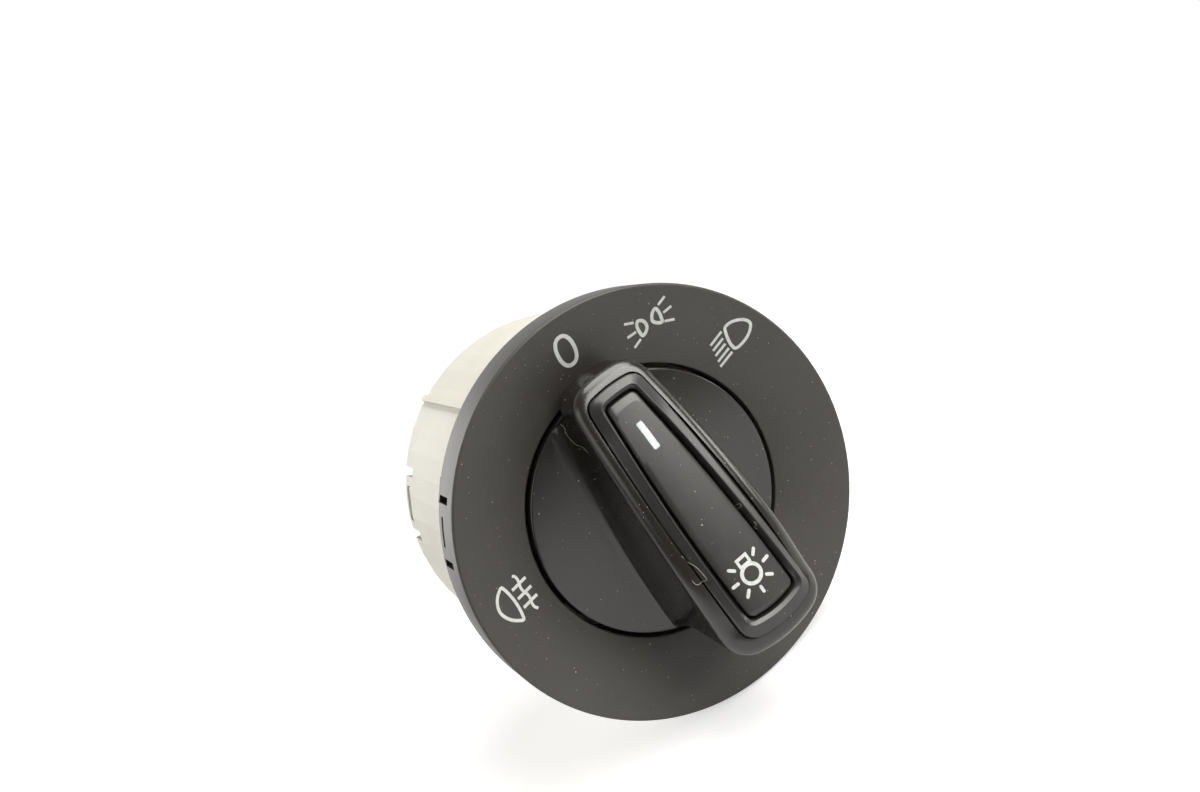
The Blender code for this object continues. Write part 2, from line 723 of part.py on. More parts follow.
# detent leaf: bowed strip with a nose that drops into the valleys
nose_r = valley_centre_r + valley_r - RUN_FIT - 0.15
leaf_t = 0.3
half_leaf = [(0.0, nose_r), (0.5, nose_r - 0.15), (0.95, nose_r - 0.7), (1.25, nose_r - 1.4),
             (1.9, nose_r - 2.0), (3.4, nose_r - 2.6), (6.2, nose_r - 3.9),
             (9.0, nose_r - 5.9), (11.5, nose_r - 8.3)]
leaf_path = [(-x, y) for x, y in reversed(half_leaf[1:])] + half_leaf
leaf = strip_mesh("detent_spring", leaf_path, leaf_t, leaf_low, leaf_high)
leaf = moved(leaf, Matrix.Rotation(math.radians(DETENT_ANGLE - 90.0), 4, "Z"))
put("detent_spring", leaf, STEEL, rotor_axis)

# sprung wipers under the contact carrier, one to each track
wiper_t = 0.25
wiper_width = 1.5
wiper_top = carrier_rear - SEAT - wiper_t / 2.0
wiper_low = track_level + track_t + SEAT + wiper_t / 2.0
wiper_path = [(-3.4, wiper_top), (0.4, wiper_top), (1.4, wiper_top - 0.5),
              (3.4, wiper_low + 0.3), (4.0, wiper_low), (4.6, wiper_low + 0.1),
              (5.3, wiper_low + 0.8)]
for n, radius in enumerate(track_radii):
    label = "contact_wiper_%d" % (n + 1)
    wiper = strip_mesh(label, wiper_path, wiper_t, -wiper_width / 2.0, wiper_width / 2.0)
    place = Matrix.Rotation(math.radians(WIPER_ANGLE), 4, "Z")
    place = place @ Matrix.Translation((radius * MM, 0.0, 0.0))
    place = place @ Matrix(((0, 0, 1, 0), (1, 0, 0, 0), (0, 1, 0, 0), (0, 0, 0, 1)))
    put(label, moved(wiper, place), BRASS, rotor_axis)


# Grip outlines: sides through three half-widths, ends as arcs about the axis,
# rounded corners. Each outline has the same number of points, so any two can be lofted.
POINTER_Y = 22.0
BULB_Y = -16.0
END_POINTS = 4
CORNER_POINTS = 4
SIDE_POINTS = 7


def outline(widths, pointer_r, bulb_r, pointer_corner, bulb_corner):
    at_pointer, at_axis, at_bulb = widths

    def side(y):
        a = at_pointer * y * (y - BULB_Y) / (POINTER_Y * (POINTER_Y - BULB_Y))
        b = at_axis * (y - POINTER_Y) * (y - BULB_Y) / (POINTER_Y * BULB_Y)
        c = at_bulb * y * (y - POINTER_Y) / (BULB_Y * (BULB_Y - POINTER_Y))
        return a + b + c

    def corner(radius, sign):
        y = sign * radius
        for _ in range(20):
            y = sign * math.sqrt(max(radius ** 2 - side(y) ** 2, 0.01))
        return side(y), y

    def rounded(start, middle, end):
        points = []
        for i in range(1, CORNER_POINTS + 1):
            t = i / (CORNER_POINTS + 1)
            k = [(1 - t) ** 2, 2 * t * (1 - t), t ** 2]
            points.append(tuple(k[0] * p + k[1] * q + k[2] * r
                                for p, q, r in zip(start, middle, end)))
        return points

    half = []
    cx, cy = corner(pointer_r, 1.0)
    stop = cx - pointer_corner
    for i in range(END_POINTS + 1):
        x = stop * i / END_POINTS
        half.append((x, math.sqrt(pointer_r ** 2 - x ** 2)))
    top_side = (side(cy - pointer_corner), cy - pointer_corner)
    half += rounded(half[-1], (cx, cy), top_side)
    bx, by = corner(bulb_r, -1.0)
    low_side_y = by + bulb_corner
    for i in range(SIDE_POINTS + 1):
        y = top_side[1] + (low_side_y - top_side[1]) * i / SIDE_POINTS
        half.append((side(y), y))
    end = (bx - bulb_corner, -math.sqrt(bulb_r ** 2 - (bx - bulb_corner) ** 2))
    half += rounded(half[-1], (bx, by), end)
    for i in range(END_POINTS + 1):
        x = end[0] * (1.0 - i / END_POINTS)
        half.append((x, -math.sqrt(bulb_r ** 2 - x ** 2)))
    return half + [(-x, y) for x, y in reversed(half[1:-1])]


def grip_plane(y):
    return GRIP_LEVEL - GRIP_SLOPE * y


def blend(first, second, share):
    return [tuple(a + (b - a) * share for a, b in zip(p, q)) for p, q in zip(first, second)]


def held_inside(points, radius):
    shares = [min(radius / math.hypot(x, y), 1.0) for x, y in points]
    return [(x * k, y * k) for (x, y), k in zip(points, shares)]


def flat_ring(points, level):
    return [(x, y, level) for x, y in points]


def plane_ring(points, drop=0.0):
    return [(x, y, grip_plane(y) - drop) for x, y in points]


# named outlines of the grip's steps, as half-widths at the pointer, the axis and the bulb
SEAM_WIDTHS = (5.85, 7.4, 7.35)
SEAM_POINTER_R = 25.1
SEAM_BULB_R = 20.45
SEAM_ARCH = 1.3           # the seam falls away from the flat top toward both ends
INSERT_WIDTHS = (2.95, 4.6, 4.75)
INSERT_POINTER_R = 22.7
INSERT_BULB_R = 17.0
CREST_WIDTHS = (3.95, 5.7, 6.05)
RIM_WIDTHS = (7.75, 9.68, 9.9)
RIM_POINTER_R = 27.5
CREASE_WIDTHS = (9.7, 11.2, 10.6)
WAIST = 0.7               # how far the flank is drawn in below the rim
SHOULDER = 2.4            # height of the rounded rim at the sides
BULB_SHOULDER = 5.4       # and at the bulb end
bulb_wall_r = KNOB_R - 0.15
disc_rear = KNOB_LEVEL - DISC_T


def shoulder_drop(y):
    share = min(max((-y - 5.0) / 16.0, 0.0), 1.0)
    share = share * share * (3.0 - 2.0 * share)
    return SHOULDER + (BULB_SHOULDER - SHOULDER) * share


def seam_drop(y):
    return SEAM_ARCH * min(abs(y - 2.0) / 17.0, 1.1) ** 2


seam = outline(SEAM_WIDTHS, SEAM_POINTER_R, SEAM_BULB_R, 1.9, 2.0)
rim = outline(RIM_WIDTHS, RIM_POINTER_R, bulb_wall_r + 0.7, 3.6, 3.6)
crease = outline(CREASE_WIDTHS, KNOB_R - 0.4, bulb_wall_r, 0.5, 0.5)
flank = outline([w - WAIST for w in RIM_WIDTHS], RIM_POINTER_R - 0.1, bulb_wall_r, 3.2, 3.2)

# overhang of the pointer end, above the bezel even with the knob pushed in
overhang = face_level(RIM_POINTER_R) + PUSH + RUN_FIT
grip_rings = [flat_ring(crease, KNOB_LEVEL - 1.3), flat_ring(crease, KNOB_LEVEL - 0.02)]
for share, rise in ((0.32, 0.25), (0.62, 1.0), (0.86, 2.2)):
    ring = held_inside(blend(crease, flank, share), bulb_wall_r)
    grip_rings.append(flat_ring(ring, KNOB_LEVEL + rise))
grip_rings.append(flat_ring(flank, overhang))
for share in (0.35, 0.7):
    ring = blend(flank, rim, share * share)
    grip_rings.append([(x, y, overhang + (grip_plane(y) - shoulder_drop(y) - overhang) * share)
                       for x, y in ring])
for step in range(7):
    a = math.radians(15.0 * step)
    ring = blend(rim, seam, 1.0 - math.cos(a))
    rise = math.sin(a)
    grip_rings.append([(x, y, grip_plane(y) - shoulder_drop(y) * (1.0 - rise)
                        - seam_drop(y) * rise) for x, y in ring])

knob = turned("knob_shell", [
    (0.0, KNOB_LEVEL),
    (KNOB_R - 0.25, KNOB_LEVEL),
    (KNOB_R, KNOB_LEVEL - 0.25),
    (KNOB_R, KNOB_SKIRT_REAR),
    (KNOB_R - SKIRT_WALL, KNOB_SKIRT_REAR),
    (KNOB_R - SKIRT_WALL, disc_rear),
    (0.0, disc_rear),
], BLACK_KNOB, BIG_STEPS, knob_axis, loop=False)
join(knob, tool("grip_body", loft_mesh("grip_body", grip_rings), knob_axis))

# hub with a square socket for the shaft
hub_r = 7.5
hub_rear = -2.5
join(knob, tool("hub", rod_mesh("hub", hub_r, hub_rear, disc_rear + 0.8, steps=SMALL_STEPS), knob_axis))
shaft_top = 9.0
socket_size = SHAFT_SIZE + 2.0 * SEAT
socket = box_mesh("shaft_socket", (socket_size, socket_size, shaft_top + SEAT - hub_rear + 1.0),
                  (0.0, 0.0, (shaft_top + SEAT + hub_rear - 1.0) / 2.0))
cut(knob, tool("shaft_socket", socket, knob_axis))

# pocket for the trim frame and insert, with a channel for the light pipe below it
pocket_depth = 2.6
pocket = loft_mesh("trim_pocket", [plane_ring(seam, pocket_depth), plane_ring(seam, -3.0)])
cut(knob, tool("trim_pocket", pocket, knob_axis))
pipe_width = 3.0
pipe_t = 1.4
pipe_high = 18.4
pipe_low = -18.8
channel_gap = FIT


def bar_rings(half, low, high, top_drop, bottom_drop):
    rings = []
    for drop in (bottom_drop, top_drop):
        rings.append([(-half, low, grip_plane(low) - drop), (half, low, grip_plane(low) - drop),
                      (half, high, grip_plane(high) - drop),
                      (-half, high, grip_plane(high) - drop)])
    return rings


pipe_top = pocket_depth + SEAT
channel = loft_mesh("pipe_channel", bar_rings(
    pipe_width / 2.0 + channel_gap, pipe_low - channel_gap, pipe_high + channel_gap,
    pocket_depth - 0.5, pipe_top + pipe_t + channel_gap))
cut(knob, tool("pipe_channel", channel, knob_axis))
riser_t = 3.0
slot_depth = grip_plane(pipe_low) - pocket_depth
riser_room = box_mesh("riser_room", (pipe_width + 2.0 * channel_gap, riser_t + 2.0 * channel_gap,
                                     slot_depth - disc_rear),
                      (0.0, pipe_low + riser_t / 2.0, (slot_depth + disc_rear) / 2.0 - 0.8))
cut(knob, tool("riser_room", riser_room, knob_axis))

# the grip is hollow from behind, on both sides of the hub's web
for label, size, centre in (
        ("pointer_hollow", (9.0, 10.2, 12.0), (0.0, 15.1, 5.5)),
        ("bulb_hollow_left", (4.6, 7.0, 20.0), (-5.0, -13.5, 10.0)),
        ("bulb_hollow_right", (4.6, 7.0, 20.0), (5.0, -13.5, 10.0))):
    cut(knob, tool(label, box_mesh(label, size, centre), knob_axis))

# Grip trim frame: rises from the seam to a crest, then falls steeply beside the insert
TRIM_CREST = 0.55
CREST_WIDTH = 0.2
trim_outer = outline([w - SEAM for w in SEAM_WIDTHS], SEAM_POINTER_R - SEAM,
                     SEAM_BULB_R - SEAM, 1.8, 1.9)
trim_inner = outline([w + FIT for w in INSERT_WIDTHS], INSERT_POINTER_R + FIT,
                     INSERT_BULB_R + FIT, 1.0, 1.2)
trim_base = pocket_depth - SEAT
crest_pointer_r = INSERT_POINTER_R + 1.4
crest_bulb_r = INSERT_BULB_R + 1.05
crest = outline(CREST_WIDTHS, crest_pointer_r, crest_bulb_r, 1.2, 1.35)
crest_inner = outline([w - CREST_WIDTH for w in CREST_WIDTHS], crest_pointer_r - CREST_WIDTH,
                      crest_bulb_r - CREST_WIDTH, 1.1, 1.25)
trim_rings = [plane_ring(trim_outer, trim_base)]
for share, drop in ((0.0, 0.35), (0.4, 0.1), (0.75, -0.28)):
    trim_rings.append([(x, y, grip_plane(y) - drop - seam_drop(y) * (1.0 - share))
                       for x, y in blend(trim_outer, crest, share)])
trim_rings += [plane_ring(crest, -TRIM_CREST), plane_ring(crest_inner, -TRIM_CREST),
               plane_ring(blend(crest_inner, trim_inner, 0.25), 0.3 - TRIM_CREST),
               plane_ring(trim_inner, 0.25), plane_ring(trim_inner, trim_base)]
put("grip_trim_frame", loft_mesh("grip_trim_frame", trim_rings, ring_tube=True),
    BLACK_TRIM, knob_axis)

# Grip insert: tapered plate with a broad bevel at the pointer end
insert_edge = outline(INSERT_WIDTHS, INSERT_POINTER_R, INSERT_BULB_R, 0.9, 1.1)
insert_mid = outline([w - 0.22 for w in INSERT_WIDTHS], INSERT_POINTER_R - 0.35,
                     INSERT_BULB_R - 0.22, 0.9, 1.0)
insert_top = outline([w - 0.55 for w in INSERT_WIDTHS], INSERT_POINTER_R - 1.35,
                     INSERT_BULB_R - 1.1, 0.9, 0.9)
insert = put("grip_insert", loft_mesh("grip_insert", [
    plane_ring(insert_edge, trim_base), plane_ring(insert_edge, 0.35),
    plane_ring(insert_mid, 0.1), plane_ring(insert_top, -0.1)]), BLACK_KNOB, knob_axis)

# Pointer lens: white bar set through the insert
POINTER_LOW = 13.2
POINTER_HIGH = 18.2
POINTER_WIDTH = 1.2
lens_gap = 0.06


def lens_rings(grow, top_drop, bottom_drop):
    half = POINTER_WIDTH / 2.0 + grow
    low, high = POINTER_LOW - grow, POINTER_HIGH + grow
    corner = 0.3
    points = []
    for x, y, start in ((half, high, 0), (-half, high, 90), (-half, low, 180), (half, low, 270)):
        for i in range(4):
            a = math.radians(start + 30 * i)
            cx = x - math.copysign(corner, x)
            cy = y - (corner if y == high else -corner)
            points.append((cx + corner * math.cos(a), cy + corner * math.sin(a)))
    return [plane_ring(points, drop) for drop in (bottom_drop, top_drop)]


lens_slot = loft_mesh("lens_slot", lens_rings(lens_gap, -1.0, pocket_depth + 1.0))
cut(insert, tool("lens_slot", lens_slot, knob_axis))
put("pointer_lens", loft_mesh("pointer_lens", lens_rings(0.0, -0.08, trim_base)),
    WHITE_LENS, knob_axis)

# Light pipe from the ring under the disc to the lens and the lit symbol
pipe = put("knob_light_pipe", loft_mesh("knob_light_pipe", bar_rings(
    pipe_width / 2.0, pipe_low, pipe_high, pipe_top, pipe_top + pipe_t)),
    CLEAR_GUIDE, knob_axis)
light_ring_t = 2.4
light_ring_top = disc_rear - FIT
riser_foot = light_ring_top + FIT
riser_head = grip_plane(pipe_low + riser_t) - pipe_top - 0.4
riser = box_mesh("pipe_riser", (pipe_width - 0.4, riser_t, riser_head - riser_foot),
                 (0.0, pipe_low + riser_t / 2.0 + 0.1, (riser_head + riser_foot) / 2.0))
join(pipe, tool("pipe_riser", riser, knob_axis))
turned("knob_light_ring", [
    (15.5, light_ring_top),
    (KNOB_R - SKIRT_WALL - FIT, light_ring_top),
    (KNOB_R - SKIRT_WALL - FIT, light_ring_top - light_ring_t),
    (15.5, light_ring_top - light_ring_t),
], CLEAR_GUIDE, 36, knob_axis)

# Shaft: square in the rotor, round neck and head behind the board
slider_rear = cover_front + 5.0
slider_t = 1.2
neck_z = slider_rear + slider_t + SEAT
groove_rear = slider_rear - SEAT
shaft_neck_r = 2.2
shaft_head_r = 3.4
head_t = 1.2
shaft = put("knob_shaft", box_mesh("knob_shaft", (SHAFT_SIZE, SHAFT_SIZE, shaft_top - neck_z),
                                   (0.0, 0.0, (shaft_top + neck_z) / 2.0)), ROTOR_GREY, knob_axis)
tail = turned_tool("shaft_tail", [
    (0.0, neck_z + 1.0),
    (shaft_neck_r, neck_z + 1.0),
    (shaft_neck_r, groove_rear),
    (shaft_head_r, groove_rear),
    (shaft_head_r - 0.4, groove_rear - head_t),
    (0.0, groove_rear - head_t),
], 24, knob_axis, loop=False)
join(shaft, tail)

# Return spring between the hub and the rotor
spring_gap = SEAT
return_length = (hub_rear - spring_gap) - (spring_floor + spring_gap)
spring_r = spring_room_r - RUN_FIT - 0.6
spring = coil("return_spring", spring_r, 0.4, 4.5, return_length, STEEL, rotor_axis, 10)
spring.location = (0.0, 0.0, (spring_floor + spring_gap) * MM)

# Fog lamp slider: forked plate on the shaft's neck, running on two pins
slider_axis = axis_empty("slider_axis", root)
slider = put("fog_slider", box_mesh("fog_slider", (2.0 * slider_pin_x + 7.0, 9.0, slider_t),
                                    (0.0, 0.0, slider_rear + slider_t / 2.0)),
             BLACK_TRIM, slider_axis)
for n, x in enumerate((-slider_pin_x, slider_pin_x)):
    label = "slider_bore_%d" % (n + 1)
    bore = rod_mesh(label, slider_pin_r + RUN_FIT, slider_rear - 1.0, slider_rear + slider_t + 1.0,
                    (x, 0.0), 20)
    cut(slider, tool(label, bore, slider_axis))
fork_half = shaft_neck_r + RUN_FIT
fork = rod_mesh("fork_round", fork_half, slider_rear - 1.0, slider_rear + slider_t + 1.0, steps=24)
cut(slider, tool("fork_round", fork, slider_axis))
mouth = box_mesh("fork_mouth", (2.0 * fork_half * 0.92, 8.0, slider_t + 2.0),
                 (0.0, 4.0, slider_rear + slider_t / 2.0))
cut(slider, tool("fork_mouth", mouth, slider_axis))
bridge_level = slider_rear + slider_t + SEAT / 2.0
bridge_t = 0.3
bridge = box_mesh("fog_contact", (2.0, 7.0, bridge_t),
                  ((slider_pin_x + shaft_head_r) / 2.0, 0.0, bridge_level + bridge_t / 2.0))
put("fog_contact", bridge, BRASS, slider_axis)
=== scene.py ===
# Rotary headlight switch for a dashboard: finishes, printed symbols, fine mouldings and
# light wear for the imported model. Sizes are in millimetres on the dial: x to the right,
# y toward the "0", z out of the dash toward the driver, z = 0 where the bezel sits.

import math
import random

import bmesh
import bpy
from mathutils import Matrix, Vector
from mathutils.bvhtree import BVHTree


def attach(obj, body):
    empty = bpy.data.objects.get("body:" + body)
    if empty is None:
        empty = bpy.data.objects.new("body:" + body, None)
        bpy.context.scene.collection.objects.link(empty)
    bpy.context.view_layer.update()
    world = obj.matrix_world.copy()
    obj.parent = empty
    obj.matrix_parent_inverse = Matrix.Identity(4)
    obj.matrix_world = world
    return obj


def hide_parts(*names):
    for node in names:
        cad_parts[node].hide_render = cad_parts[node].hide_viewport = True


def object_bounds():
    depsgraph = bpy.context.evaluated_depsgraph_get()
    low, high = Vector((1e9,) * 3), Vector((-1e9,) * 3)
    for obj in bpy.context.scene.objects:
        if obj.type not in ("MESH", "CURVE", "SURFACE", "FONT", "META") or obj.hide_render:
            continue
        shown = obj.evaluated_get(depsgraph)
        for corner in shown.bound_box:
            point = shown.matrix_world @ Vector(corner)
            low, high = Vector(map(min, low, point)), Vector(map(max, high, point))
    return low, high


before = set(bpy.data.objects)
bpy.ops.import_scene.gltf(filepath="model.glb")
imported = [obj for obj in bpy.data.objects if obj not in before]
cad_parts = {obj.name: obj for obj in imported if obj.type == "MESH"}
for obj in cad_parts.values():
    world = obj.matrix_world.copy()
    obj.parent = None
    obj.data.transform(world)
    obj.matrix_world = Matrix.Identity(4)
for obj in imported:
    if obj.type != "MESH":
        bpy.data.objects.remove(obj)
cad_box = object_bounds()
MM = 0.001

# Camera and studio. The switch is seen a little from its left, rolled as it lay when it
# was photographed. A pale floor lies under it, soft lamps stand before it, above it and at
# its right, weaker ones at its left and behind it, and a pale room is all around.
PICTURE_WIDTH = 1200.0
PICTURE_HEIGHT = 792.0
CAMERA_TURN = math.radians(22.549)
CAMERA_TILT = math.radians(2.823)
CAMERA_ROLL = math.radians(-34.2)
CAMERA_OFFSET = Vector((-11.308, 18.547, 207.297))
RIM_LEVEL = 8.2           # the bezel's rim, from which the offset is taken
LAMP_COLOUR = (1.0, 0.985, 0.955)
ROOM_FILL = 0.14          # what the room gives to every surface
ROOM_BEHIND = 0.92        # what a reflection shows of the wall behind the switch
ROOM_FALL = 0.9           # how much less it shows of the wall before it
FLOOR_REACH = 3.0
FLOOR_GAP = 0.0004
FLOOR_TONE = 0.84

tilt = Matrix.Rotation(CAMERA_TILT, 3, "X") @ Matrix.Rotation(CAMERA_TURN, 3, "Y")
roll = Matrix.Rotation(CAMERA_ROLL, 3, "Z")
upright = Matrix.Rotation(math.radians(90.0), 3, "X")
spot = upright @ (roll @ (tilt.transposed() @ CAMERA_OFFSET) + Vector((0.0, 0.0, RIM_LEVEL)))
aim = upright @ roll @ tilt.transposed()
camera_data = bpy.data.cameras.new("photo_camera")
camera_data.sensor_width = 36.0
camera_data.lens = 36.0
camera_data.clip_start = 0.01
camera = bpy.data.objects.new("photo_camera", camera_data)
bpy.context.scene.collection.objects.link(camera)
camera.matrix_world = Matrix.Translation(spot * MM) @ aim.to_4x4()
bpy.context.scene.camera = camera
bpy.context.scene.view_settings.view_transform = "Standard"


def lamp(name, direction, distance, size, power):
    # direction is on the dial: x right, y toward the "0", z toward the driver
    data = bpy.data.lights.new(name, "AREA")
    data.shape = "DISK"
    data.size = size
    data.energy = power
    data.color = LAMP_COLOUR
    obj = bpy.data.objects.new(name, data)
    bpy.context.scene.collection.objects.link(obj)
    way = (upright @ Vector(direction)).normalized()
    obj.location = way * distance
    obj.rotation_euler = way.to_track_quat("Z", "Y").to_euler()
    obj.visible_camera = False


lamp("broad_lamp", (0.45, 0.51, 0.73), 0.70, 0.50, 3.9)
lamp("top_lamp", (0.41, 0.87, 0.24), 0.70, 0.50, 3.4)
lamp("right_lamp", (0.88, -0.25, 0.22), 0.70, 0.60, 5.2)
lamp("side_lamp", (-0.80, 0.45, 0.35), 0.60, 0.45, 0.55)
lamp("rear_lamp", (-0.50, 0.30, -0.80), 0.60, 0.50, 1.75)


class Tone:
    """A socket in a finish. Sums, products and steps on it add the nodes they need."""

    def __init__(self, tree, socket=None):
        self.tree = tree
        self.socket = socket

    def node(self, kind, settings=None, inputs=None, output=0):
        made = self.tree.nodes.new(kind)
        for key, value in (settings or {}).items():
            setattr(made, key, value)
        for key, value in (inputs or {}).items():
            if isinstance(value, Tone):
                self.tree.links.new(value.socket, made.inputs[key])
            else:
                made.inputs[key].default_value = value
        return Tone(self.tree, made.outputs[output])

    def maths(self, operation, first, second):
        return self.node("ShaderNodeMath", {"operation": operation}, {0: first, 1: second})

    def __add__(self, other):
        return self.maths("ADD", self, other)

    def __radd__(self, other):
        return self.maths("ADD", other, self)

    def __sub__(self, other):
        return self.maths("SUBTRACT", self, other)

    def __rsub__(self, other):
        return self.maths("SUBTRACT", other, self)

    def __mul__(self, other):
        return self.maths("MULTIPLY", self, other)

    def __rmul__(self, other):
        return self.maths("MULTIPLY", other, self)

    def step(self, low, high):
        return self.node("ShaderNodeMapRange", {"interpolation_type": "SMOOTHSTEP"},
                         {"Value": self, "From Min": low, "From Max": high})

    def along(self, direction):
        return self.node("ShaderNodeVectorMath", {"operation": "DOT_PRODUCT"},
                         {0: self, 1: direction}, 1)

    def noise(self, place, scale, detail, **more):
        return self.node("ShaderNodeTexNoise", None,
                         {"Vector": place, "Scale": scale, "Detail": detail, **more})

    def mix(self, share, first, second):
        return self.node("ShaderNodeMix", {"data_type": "RGBA"},
                         {0: share, 6: first, 7: second}, 2)

    def grey(self):
        return self.node("ShaderNodeCombineColor", None, {0: self, 1: self, 2: self})

    def into(self, shader, name):
        self.tree.links.new(self.socket, shader.inputs[name])

    def relief(self, shader, strength, distance):
        bump = self.node("ShaderNodeBump", None,
                         {"Strength": strength, "Distance": distance, "Height": self})
        bump.into(shader, "Normal")


def new_look(name):
    """A new finish: the material, its shader, a tone to build on and the place in it."""
    look = bpy.data.materials.new(name)
    look.use_nodes = True
    base = Tone(look.node_tree)
    place = base.node("ShaderNodeTexCoord", output=3)
    return look, look.node_tree.nodes["Principled BSDF"], base, place


def shown(base, mirrored):
    # 1 for what is seen straight or through clear plastic, and a share in reflections
    path = base.node("ShaderNodeLightPath").socket.node
    direct, glossy, through = [Tone(base.tree, path.outputs["Is %s Ray" % kind])
                               for kind in ("Camera", "Glossy", "Transmission")]
    return base.maths("MAXIMUM", base.maths("MAXIMUM", direct, glossy * mirrored), through)


world = bpy.data.worlds.new("pale_room")
bpy.context.scene.world = world
world.use_nodes = True
room = Tone(world.node_tree)
before = room.node("ShaderNodeTexCoord").along((0.0, -1.0, 0.0)).step(-0.8, 0.3)
room_light = shown(room, ROOM_BEHIND - ROOM_FALL * before) * (1.0 - ROOM_FILL) + ROOM_FILL
background = world.node_tree.nodes["Background"]
background.inputs["Color"].default_value = (1.0, 1.0, 1.0, 1.0)
room_light.into(background, "Strength")

bm = bmesh.new()
bmesh.ops.create_grid(bm, x_segments=8, y_segments=8, size=FLOOR_REACH)
floor_mesh = bpy.data.meshes.new("studio_floor")
bm.to_mesh(floor_mesh)
bm.free()
floor = bpy.data.objects.new("studio_floor", floor_mesh)
bpy.context.scene.collection.objects.link(floor)
floor.location.z = cad_box[0][2] - FLOOR_GAP
floor_look, paper_shader, paper, floor_place = new_look("pale_floor")
paper_shader.inputs["Roughness"].default_value = 0.9
paper_shader.inputs["Specular IOR Level"].default_value = 0.1
paper_shader.inputs["Emission Strength"].default_value = 1.0
behind = floor_place.along((0.0, 1.0, 0.0)).step(-0.06, 0.12)
spread = paper.node("ShaderNodeVectorMath", {"operation": "LENGTH"}, {0: floor_place}, 1)
far = spread.step(0.10, 0.30)
fleece = paper.node("ShaderNodeTexNoise", None, {"Scale": 900.0, "Detail": 2.0})
(FLOOR_TONE * (1.0 - far) + fleece * 0.02).grey().into(paper_shader, "Base Color")
glow = shown(paper, 0.04 + 0.86 * behind) * (0.5 + 0.5 * far)
glow.grey().into(paper_shader, "Emission Color")
floor_mesh.materials.append(floor_look)


# Bezel. A dished ring in black ABS with a fine spark-eroded grain, moulded in one piece
# with its skirt and an inner collar. Slots in the skirt free three snap tongues that clip
# over the housing's lugs. Black webs behind the slots close them toward the barrel: this is
# painted shade, dark pieces put where the slots show only shadow.
BEZEL_R = 38.0
BEZEL_DEPTH = RIM_LEVEL
BEZEL_DISH = 4.0
BEZEL_WALL = 1.8
BEZEL_INNER_R = 24.2
COLLAR_R = 25.4
COLLAR_END = 0.6
TONGUE_ANGLES = (151.2, 31.2, 271.2)
SLOT_TURN = 8.2           # degrees from the middle of a tongue
SHADE_WEB_TURN = 10.2
# size and middle of a slot, of a tongue's window and of a shade web (a black piece that
# stands in for the shadow behind a slot, painted shade), before its turn
SLOT = ((3.9, 1.3, 5.1), (36.75, 0.0, 2.55))
WINDOW = ((3.8, 5.2, 1.0), (BEZEL_R - 0.9, 0.0, 2.1))
SHADE_WEB = ((3.85, 4.4, 3.85), (35.925, 0.0, 1.275))
CORNER_STEPS = 5
TURNED_STEPS = 256
skirt_r = BEZEL_R - BEZEL_WALL
face_slope = BEZEL_DISH / (BEZEL_R - BEZEL_INNER_R)
face_back = BEZEL_WALL * math.hypot(1.0, face_slope)


def face_level(radius):
    return BEZEL_DEPTH - BEZEL_DISH + (radius - BEZEL_INNER_R) * face_slope


def on_dial(x, y, z):
    return Vector((x, -z, y)) * MM


def polar(radius, angle):
    return radius * math.cos(math.radians(angle)), radius * math.sin(math.radians(angle))


def lofted(rings, tube=False):
    # a skin over rings of points: a tube closes on itself, other forms get end faces
    bm = bmesh.new()
    rows = [[bm.verts.new(on_dial(*p)) for p in ring] for ring in rings]
    count = len(rows[0])
    pairs = list(zip(rows, rows[1:]))
    if tube:
        pairs.append((rows[-1], rows[0]))
    for low, high in pairs:
        for i in range(count):
            j = (i + 1) % count
            bm.faces.new((low[i], low[j], high[j], high[i]))
    if not tube:
        bm.faces.new(rows[0])
        bm.faces.new(list(reversed(rows[-1])))
    bmesh.ops.recalc_face_normals(bm, faces=bm.faces)
    return bm


def rounded(points, closed=True):
    # points are (r, z, corner radius); each corner becomes a small arc
    path = []
    count = len(points)
    for i, (r, z, corner) in enumerate(points):
        here = Vector((r, z))
        if corner == 0.0 or (not closed and i in (0, count - 1)):
            path.append((r, z))
            continue
        before = (Vector(points[i - 1][:2]) - here).normalized()
        after = (Vector(points[(i + 1) % count][:2]) - here).normalized()
        half = before.angle(after) / 2.0
        reach = corner / math.tan(half)
        centre = here + (before + after).normalized() * corner / math.sin(half)
        start = here + before * reach - centre
        end = here + after * reach - centre
        sweep = start.angle_signed(end)
        for k in range(CORNER_STEPS + 1):
            a = -sweep * k / CORNER_STEPS
            turned_arm = Vector((start.x * math.cos(a) - start.y * math.sin(a),
                                 start.x * math.sin(a) + start.y * math.cos(a)))
            path.append(tuple(centre + turned_arm))
    return path


def turned(profile, closed=True):
    # a closed profile gives a ring, an open one runs from axis to axis
    rings = []
    for i in range(TURNED_STEPS):
        a = 2.0 * math.pi * i / TURNED_STEPS
        c, s = math.cos(a), math.sin(a)
        rings.append([(r * c, r * s, z) for r, z in profile])
    if closed:
        return lofted(rings, tube=True)
    bm = bmesh.new()
    rows = [[bm.verts.new(on_dial(*p)) for p in ring[1:-1]] for ring in rings]
    ends = [bm.verts.new(on_dial(*rings[0][0])), bm.verts.new(on_dial(*rings[0][-1]))]
    for i in range(TURNED_STEPS):
        a, b = rows[i], rows[(i + 1) % TURNED_STEPS]
        bm.faces.new((ends[0], a[0], b[0]))
        bm.faces.new((ends[1], b[-1], a[-1]))
        for k in range(len(a) - 1):
            bm.faces.new((a[k], a[k + 1], b[k + 1], b[k]))
    bmesh.ops.recalc_face_normals(bm, faces=bm.faces)
    return bm


